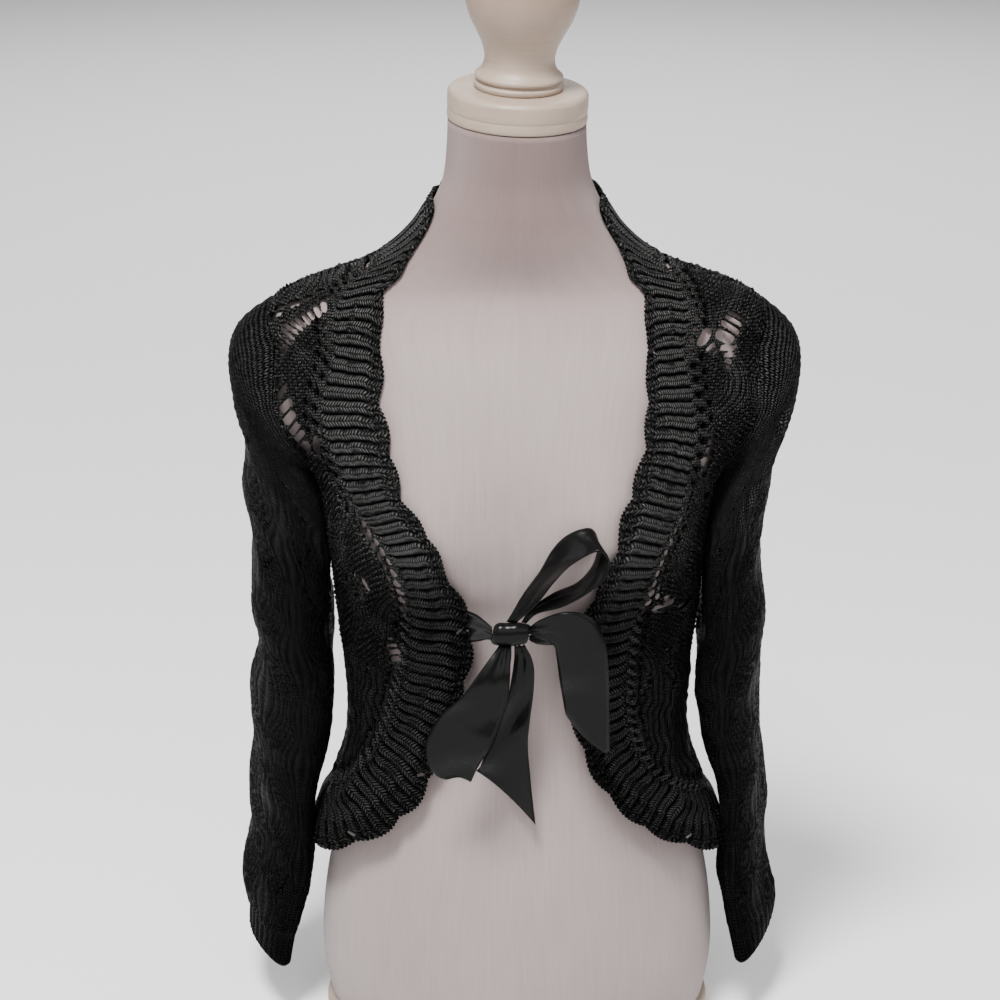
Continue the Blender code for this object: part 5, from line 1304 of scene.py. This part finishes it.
def sleeveSurface(side, table):
    # around is in degrees and down in metres: flattened rings between the table's inner and outer ends
    run = sleeveRun(table)
    rings = np.arange(len(table))

    def size(name, at):
        return eased(rings, table[:, sleeveNames.index(name)], at)

    def ring(around, at):
        angle = np.radians(around)
        lean = sleeve["lean"] * softStep((at - 7) / 11)
        reach = (1 - (np.cos(angle) - lean * np.sin(angle)) / np.sqrt(1 + lean**2)) / 2
        x = size("outerX", at) + (size("innerX", at) - size("outerX", at)) * reach
        z = size("outerZ", at) + (size("innerZ", at) - size("outerZ", at)) * reach
        x = x + size("belly", at) * 0.001 * np.abs(np.sin(angle)) ** 1.5
        return np.stack([x, size("middleY", at) - size("halfDeep", at) * np.sin(angle), z], -1)

    def start(around):
        shift = 0.0004 + 0.6 * wall * (1 - np.cos(np.radians(around)))
        return clothInside(*armhole(around)) + np.stack([shift, 0 * shift, 0 * shift], -1)

    def surface(around, down):
        around, down = pairOf(around, down)
        at = np.interp(down, run, rings)
        keep = np.clip(1 - at / 1.6, 0, 1) ** 2
        point = ring(around, at) + (start(around) - ring(around, 0 * at)) * keep[..., None]
        return point * np.array([side, 1, 1])

    return surface, run


def sleeveLadder(line, down):
    swing = sleeve["swing"] * np.cos(2 * np.pi * down / sleeve["repeat"] + line * np.pi)
    return line * sleeveWide / 2 + swing


def sleeveRelief(side, x, down, depth, length):
    # wales that sway with the lace, cosines across the sleeve, with leaves that swell between the ladders;
    # bumps over the cap, ribs at the cuff, and listed creases as bells across their lines
    line = np.round(x / (sleeveWide / 2))
    far = np.minimum.reduce([np.abs(x - sleeveLadder(line + step, down)) for step in (-1, 0, 1)])
    flow = 0.010 * np.cos(2 * np.pi * down / sleeve["repeat"]) * np.cos(2 * np.pi * x / sleeveWide)
    number = (x + flow) / (sleeveWide / 18)
    wale = wave(number)
    stitch = wave(down / 0.0052 + np.floor(number) * 0.5)
    relief = sleeve["waleHigh"] * wale + 0.0003 * stitch - 0.0004 + 0.0014 * softStep((far - 0.004) / 0.016)
    deep = 0.95 - 1.5 * wale - 0.25 * stitch
    overCap = softStep((sleeve["capEnd"] - down) / 0.05)
    beads = beadField(x * 42 * 0.006 / (3 * sleeveWide) + 0.5 * down, 0.9 * down, 0.0060, 0.0054)
    relief = relief * (1 - overCap) + (sleeve["beadHigh"] * beads + 0.0004) * overCap
    deep = deep * (1 - overCap) + (0.45 - 0.8 * beads) * overCap
    folds = np.zeros(np.shape(x))
    for around1, down1, around2, down2, wide, rise in sleeveCreases[side]:
        x1, x2 = around1 * sleeve["metresADegree"], around2 * sleeve["metresADegree"]
        near = nearLine(x, down, x1, down1, x2, down2)
        folds = folds + rise * 0.001 * sleeve["foldHigh"] * bell(near / (wide * 0.001))
    cuff = softStep((down - (length - sleeve["cuff"])) / 0.004)
    cuffWave = wave(x / (3 * sleeveWide) * sleeve["cuffRibs"])
    rim = 0.0004 * bell((depth - 0.0009) / 0.0012)
    relief = relief * (1 - cuff) + (sleeve["waleHigh"] * cuffWave - 0.0003) * cuff + rim
    deep = deep * (1 - cuff) + cuff * (0.9 - 1.6 * cuffWave)
    # painted shade: darker in the hollows between wales and beads, and the lower sleeve darker still,
    # standing in for less light reaching it
    shade = 0.74 - 0.46 * softStep((down - 0.05) / 0.14) - 0.12 * softStep((down - 0.26) / 0.2)
    return relief, 1 - (1 - np.clip(deep, 0, 1)) * shade, folds * (1 - cuff)


def makeSleeve(name, side, table, *nodes):
    # one shell all round the sleeve, whose two edges are welded where around is 0
    surface, run = sleeveSurface(side, table)
    length = run[-1]
    girth = 3 * sleeveWide
    columns = int(round(girth / sleeve["step"]))
    x, down = np.meshgrid(np.linspace(0, girth, columns + 1),
                          np.linspace(0, length, int(length / sleeve["step"]) + 1))
    highest, lowest = sleeve["clearCap"], length - sleeve["cuff"] - sleeve["clearCuff"]
    rows = ladderLenses(0, girth, highest, lowest, sleeveWide, sleeve["repeat"], sleeve["half"],
                        sleeve["wide"], sleeve["dropped"])
    # each opening is a column of four pin-holes
    lenses = [(line, middle + k * sleeve["apart"], half, wide) for line, middle, half, wide in rows
              for k in (-1.5, -0.5, 0.5, 1.5) if highest < middle < lowest and 1 <= line <= 5]
    depth = np.minimum(np.minimum(down, down[-1, 0] - down), lensDepth(x, down, lenses, sleeveLadder))
    x, down, depth, tri = clipGrid(x, down, depth)
    around = x / sleeve["metresADegree"]
    base = surface(around, down)
    normal = outward(surface, around, down, 1.0, 0.001)
    across = base - surface(around + 180, down)
    normal = normal * np.sign(np.sign((normal * across).sum(-1)).sum())
    relief, paintedShade, folds = sleeveRelief(side, x, down, depth, length)
    base = base + normal * folds[:, None]
    # the stitches keep their size where the sleeve is wider: the chart is stretched by the local girth
    downs = np.linspace(0, length, 60)
    rings = surface(np.arange(0, 361, 6.0)[None], downs[:, None])
    stretch = np.linalg.norm(np.diff(rings, axis=1), axis=-1).sum(1) / girth
    chartX = (x - girth / 2) * np.interp(down, downs, stretch)
    shell = shellMesh(x, down, depth, tri, base, normal, relief, paintedShade=paintedShade, chart=(chartX, down))
    return knitPiece(name, weldMesh(*shell), *nodes)


leftSleeve = makeSleeve("sleeveLeft", 1, sleeveLeft, "sleeve_left_front", "sleeve_left_back")
rightSleeve = makeSleeve("sleeveRight", -1, sleeveRight, "sleeve_right_front", "sleeve_right_back")
seamCord = {"radius": 0.0014, "out": 0.9, "along": 1.25, "swell": 0.12, "sides": 10}


def makeArmholeSeam(name, side, table):
    # a rounded cord of stitches along the armhole: a flattened circle, swelling a little at every other
    # ring, carried round
    surface, _ = sleeveSurface(side, table)
    around = np.arange(0, 360, 2.0)
    bodySide = clothInside(*armhole(around)) * np.array([side, 1, 1])
    sleeveSide = surface(around, 0 * around)
    middle = (bodySide + sleeveSide) / 2
    out = outward(surface, around, 0 * around + 0.001, 1.0, 0.001)
    centre = middle.mean(0)
    out = out * np.sign(((middle - centre) * out).sum(-1, keepdims=True))
    middle = middle + out * wall * 0.55
    along = np.roll(middle, -1, 0) - np.roll(middle, 1, 0)
    along /= np.linalg.norm(along, axis=1, keepdims=True)
    sideways = np.cross(along, out)
    rows, columns = len(around), seamCord["sides"]
    angle = np.arange(columns) * 2 * np.pi / columns
    radius = seamCord["radius"] * (1 + seamCord["swell"] * np.cos(np.arange(rows) * np.pi))
    ring = (out[:, None] * np.cos(angle)[None, :, None] * seamCord["out"]
            + sideways[:, None] * np.sin(angle)[None, :, None] * seamCord["along"]) * radius[:, None, None]
    points = (middle[:, None] + ring).reshape(-1, 3)
    faces = halved(gridFaces(rows, columns, True, True))
    faces = facingOut(points, faces, middle[faces[:, 0] // columns])
    run = np.arange(rows) * 0.0022
    chart = np.stack([np.repeat(run, columns), np.tile(np.arange(columns) * 0.0013, rows)], -1)
    return meshPiece(name, points, faces, blackYarn, chart[faces].reshape(-1, 2))


seamLeft = makeArmholeSeam("armholeSeamLeft", 1, sleeveLeft)
seamRight = makeArmholeSeam("armholeSeamRight", -1, sleeveRight)
print("panels and sleeves made")

# each strip's two edges, point by point from the knot: x, y, z of one edge, then of the other
bow = {
    "strandRight": np.array((
        (-0.0400, -0.1118, 0.3925, -0.0369, -0.1092, 0.3645),
        (-0.0305, -0.1220, 0.3929, -0.0291, -0.1205, 0.3695),
        (-0.0243, -0.1290, 0.3905, -0.0237, -0.1280, 0.3735),
        (-0.0192, -0.1350, 0.3870, -0.0192, -0.1350, 0.3755),
    )),
    "strandLeft": np.array((
        (0.0093, -0.1352, 0.3800, 0.0093, -0.1352, 0.3755),
        (0.0170, -0.1300, 0.3850, 0.0170, -0.1290, 0.3700),
        (0.0300, -0.1200, 0.3860, 0.0300, -0.1185, 0.3655),
        (0.0454, -0.1100, 0.3850, 0.0419, -0.1092, 0.3640),
    )),
    "loopUpper": np.array((
        (-0.0010, -0.1370, 0.3905, -0.0082, -0.1345, 0.3905),
        (0.0143, -0.1460, 0.4091, 0.0038, -0.1280, 0.4075),
        (0.0292, -0.1500, 0.4272, 0.0144, -0.1250, 0.4257),
        (0.0395, -0.1490, 0.4405, 0.0257, -0.1290, 0.4453),
        (0.0513, -0.1490, 0.4489, 0.0399, -0.1290, 0.4580),
        (0.0632, -0.1480, 0.4506, 0.0555, -0.1290, 0.4635),
        (0.0680, -0.1480, 0.4417, 0.0630, -0.1290, 0.4533),
        (0.0662, -0.1485, 0.4285, 0.0580, -0.1275, 0.4361),
        (0.0547, -0.1480, 0.4178, 0.0454, -0.1270, 0.4216),
        (0.0338, -0.1460, 0.4075, 0.0272, -0.1300, 0.4114),
        (0.0158, -0.1420, 0.3993, 0.0098, -0.1340, 0.4000),
        (0.0072, -0.1375, 0.3903, 0.0034, -0.1352, 0.3905),
    )),
    "tailRight": np.array((
        (0.0093, -0.1385, 0.3878, 0.0093, -0.1385, 0.3828),
        (0.0180, -0.1455, 0.3970, 0.0180, -0.1440, 0.3800),
        (0.0323, -0.1500, 0.4042, 0.0272, -0.1450, 0.3751),
        (0.0472, -0.1510, 0.4038, 0.0295, -0.1450, 0.3678),
        (0.0601, -0.1490, 0.3942, 0.0311, -0.1430, 0.3565),
        (0.0672, -0.1460, 0.3755, 0.0327, -0.1400, 0.3432),
        (0.0699, -0.1420, 0.3464, 0.0344, -0.1360, 0.3301),
        (0.0704, -0.1370, 0.3133, 0.0368, -0.1320, 0.3186),
        (0.0717, -0.1310, 0.2801, 0.0384, -0.1290, 0.3100),
    )),
    "loopLower": np.array((
        (-0.0135, -0.1362, 0.3725, -0.0052, -0.1362, 0.3724),
        (-0.0257, -0.1470, 0.3581, -0.0053, -0.1460, 0.3512),
        (-0.0409, -0.1520, 0.3390, -0.0076, -0.1490, 0.3280),
        (-0.0577, -0.1530, 0.3214, -0.0152, -0.1490, 0.3059),
        (-0.0685, -0.1510, 0.3009, -0.0237, -0.1470, 0.2877),
        (-0.0674, -0.1460, 0.2782, -0.0307, -0.1420, 0.2715),
        (-0.0578, -0.1390, 0.2626, -0.0355, -0.1360, 0.2597),
        (-0.0502, -0.1320, 0.2629, -0.0317, -0.1300, 0.2688),
        (-0.0424, -0.1280, 0.2871, -0.0231, -0.1270, 0.2909),
        (-0.0300, -0.1270, 0.3199, -0.0131, -0.1270, 0.3224),
        (-0.0183, -0.1290, 0.3511, -0.0053, -0.1290, 0.3527),
        (-0.0120, -0.1338, 0.3722, -0.0040, -0.1338, 0.3722),
    )),
    "tailLeft": np.array((
        (-0.0020, -0.1355, 0.3720, 0.0062, -0.1355, 0.3722),
        (-0.0025, -0.1310, 0.3550, 0.0125, -0.1310, 0.3560),
        (-0.0077, -0.1260, 0.3236, 0.0130, -0.1270, 0.3323),
        (-0.0162, -0.1210, 0.2926, 0.0100, -0.1240, 0.3063),
        (-0.0256, -0.1180, 0.2729, 0.0085, -0.1210, 0.2817),
        (-0.0296, -0.1160, 0.2627, 0.0109, -0.1180, 0.2493),
        (-0.0320, -0.1150, 0.2589, 0.0149, -0.1140, 0.2143),
    )),
}
bowShape = {"along": 8, "across": 14, "thick": 0.0007, "pleat": 0.0011, "pleats": 2.4, "fade": 0.022,
            "sway": 0.0018, "crown": 0.085}


def makeRibbon(name, rows, node):
    # a strip between two edges, crowned as a parabola across, with a slow sway, and with pleats, a sine
    # across, that fade away from the knot
    at = np.linspace(0, len(rows) - 1, bowShape["along"] * (len(rows) - 1) + 1)
    edges = np.stack([eased(np.arange(len(rows)), rows[:, i], at) for i in range(6)], -1)
    one, other = edges[:, :3], edges[:, 3:]
    across = np.linspace(0, 1, bowShape["across"])[None]
    centre = (one + other) / 2
    normal = np.cross(other - one, np.gradient(centre, axis=0))
    normal /= np.maximum(np.linalg.norm(normal, axis=1, keepdims=True), 1e-9)
    run = runAlong(centre)[:, None]
    wide = np.linalg.norm(other - one, axis=1)[:, None]
    toEnds = np.minimum(run, run[-1] - run)
    near = np.exp(-(toEnds if "Loop" in name else run) / bowShape["fade"])
    pleats = np.sin(2 * np.pi * across * bowShape["pleats"] + 0.8) * near * bowShape["pleat"]
    sway = bowShape["sway"] * np.sin(run * 105 + across * 2.6) * (1 - near)
    crown = bowShape["crown"] * wide * (across * (1 - across)) * 4 * (1 - near)
    rise = pleats + sway + crown - bowShape["thick"] / 2
    base = one[:, None] + (other - one)[:, None] * across[..., None] + normal[:, None] * rise[..., None]
    q, p = np.broadcast_arrays(run, across * max(wide.max(), 0.01))
    depth = np.minimum(np.minimum(across, 1 - across) * wide, toEnds)
    tri = halved(gridFaces(*base.shape[:2], False))
    flat = np.repeat(normal, bowShape["across"], 0)
    points, faces, uv = shellMesh(p.ravel(), q.ravel(), depth.ravel(), tri, base.reshape(-1, 3), flat, 0.0,
                                  bowShape["thick"], 0.0006)
    piece = meshPiece(name, points, faces, blackSatin, uv)
    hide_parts(node)
    return piece


bowPieces = {}
for strip, rows in bow.items():
    nodeName = "bow_" + "".join("_" + letter.lower() if letter.isupper() else letter for letter in strip)
    bowPieces[strip] = makeRibbon("bow" + strip[0].upper() + strip[1:], rows, nodeName)


knotShape = {"low": -0.0187, "high": 0.0090, "middle": (-0.0048, -0.1355, 0.3812), "half": 0.0139,
             "deep": 0.0072, "tall": 0.0093, "groove": 0.07}


def makeKnot():
    # rings along x whose size falls off as the root of 1 less the power 3.2 of the distance from the middle,
    # flattened from front to back, with a soft groove that runs round
    x = np.linspace(knotShape["low"], knotShape["high"], 40)[:, None]
    middleX, middleY, middleZ = knotShape["middle"]
    s = (x - middleX) / knotShape["half"]
    plump = np.clip(1 - np.abs(s) ** 3.2, 0, 1) ** 0.5 * 0.42 + 0.60
    plump = plump * (1 - knotShape["groove"] * np.cos(2 * np.pi * (s * 0.55 + 0.15)) ** 2)
    angle = np.arange(36)[None] * 2 * np.pi / 36
    lean = 0.18 * np.sin(angle) * np.sin(3 * s)
    y = middleY + knotShape["deep"] * plump * np.cos(angle) * (1 + 0.3 * lean)
    z = middleZ + knotShape["tall"] * plump * np.sin(angle)
    rings = np.stack([x + 0.0012 * np.sin(angle), y, z], -1)
    piece = closedRings("bowKnot", rings, blackSatin, 0.2)
    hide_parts("bow_knot")
    return piece


knot = makeKnot()
print("bow made")

knitted = (*borderPieces.values(), frontRight, frontLeft, backPanel, leftSleeve, rightSleeve, seamLeft,
           seamRight)
finishes = {"jersey": (torso,), "painted_wood": (board, cap, finial), "yarn": knitted,
            "satin": (*bowPieces.values(), knot)}
for slotName, pieces in finishes.items():
    for piece in pieces:
        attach(piece, "root")
# floor, soft light and camera
floorMesh = bpy.data.meshes.new("floor")
floorMesh.from_pydata([(-20, -20, 0), (20, -20, 0), (20, 20, 0), (-20, 20, 0)], [], [(0, 1, 2, 3)])
floorPaint, _, floorShader = shaderOf("floorPaint", (0.93, 0.93, 0.93), 0.9)
floorShader.inputs["Specular IOR Level"].default_value = 0.1
floorMesh.materials.append(floorPaint)
floor = bpy.data.objects.new("floor", floorMesh)
bpy.context.scene.collection.objects.link(floor)

world = bpy.data.worlds.new("studio")
world.use_nodes = True
world.node_tree.nodes["Background"].inputs["Color"].default_value = (1, 1, 1, 1)
world.node_tree.nodes["Background"].inputs["Strength"].default_value = 0.16
bpy.context.scene.world = world


def softLight(name, place, size, power, aim=(0, 0, 0.4)):
    data = bpy.data.lights.new(name, "AREA")
    data.shape = "DISK"
    data.size = size
    data.energy = power
    light = bpy.data.objects.new(name, data)
    light.location = place
    direction = Vector(aim) - Vector(place)
    light.rotation_euler = direction.to_track_quat("-Z", "Y").to_euler()
    light.visible_camera = False
    bpy.context.scene.collection.objects.link(light)
    return light


# place, diameter and power
lights = {"keyLight": ((-0.45, -1.25, 2.85), 0.8, 165), "fillLight": ((1.5, -1.6, 1.9), 1.4, 8)}
for name, (place, size, power) in lights.items():
    softLight(name, place, size, power)
# the floor all round is lit from above, so it stays pale behind the object in every view
floorLight = {"away": 4.4, "high": 2.7, "size": 5.0, "power": 140}
for number, (alongX, alongY) in enumerate(((0, 1), (1, 0), (-1, 0), (0, -1))):
    spot = (alongX * floorLight["away"], alongY * floorLight["away"])
    softLight("floorLight%d" % number, (*spot, floorLight["high"]), floorLight["size"], floorLight["power"],
              (*spot, 0))

viewing = {"away": 2.1, "rise": 17.5, "aim": 0.445, "lens": 94.5, "sensor": 36, "shift": -0.017, "far": 100}
cameraData = bpy.data.cameras.new("camera")
cameraData.lens = viewing["lens"]
cameraData.sensor_width = viewing["sensor"]
cameraData.shift_x = viewing["shift"]
cameraData.clip_end = viewing["far"]
camera = bpy.data.objects.new("camera", cameraData)
rise = math.radians(viewing["rise"])
camera.location = (0, -viewing["away"] * math.cos(rise), viewing["aim"] + viewing["away"] * math.sin(rise))
camera.rotation_euler = (math.pi / 2 - rise, 0, 0)
bpy.context.scene.collection.objects.link(camera)
bpy.context.scene.camera = camera
print("floor, lights and camera made")
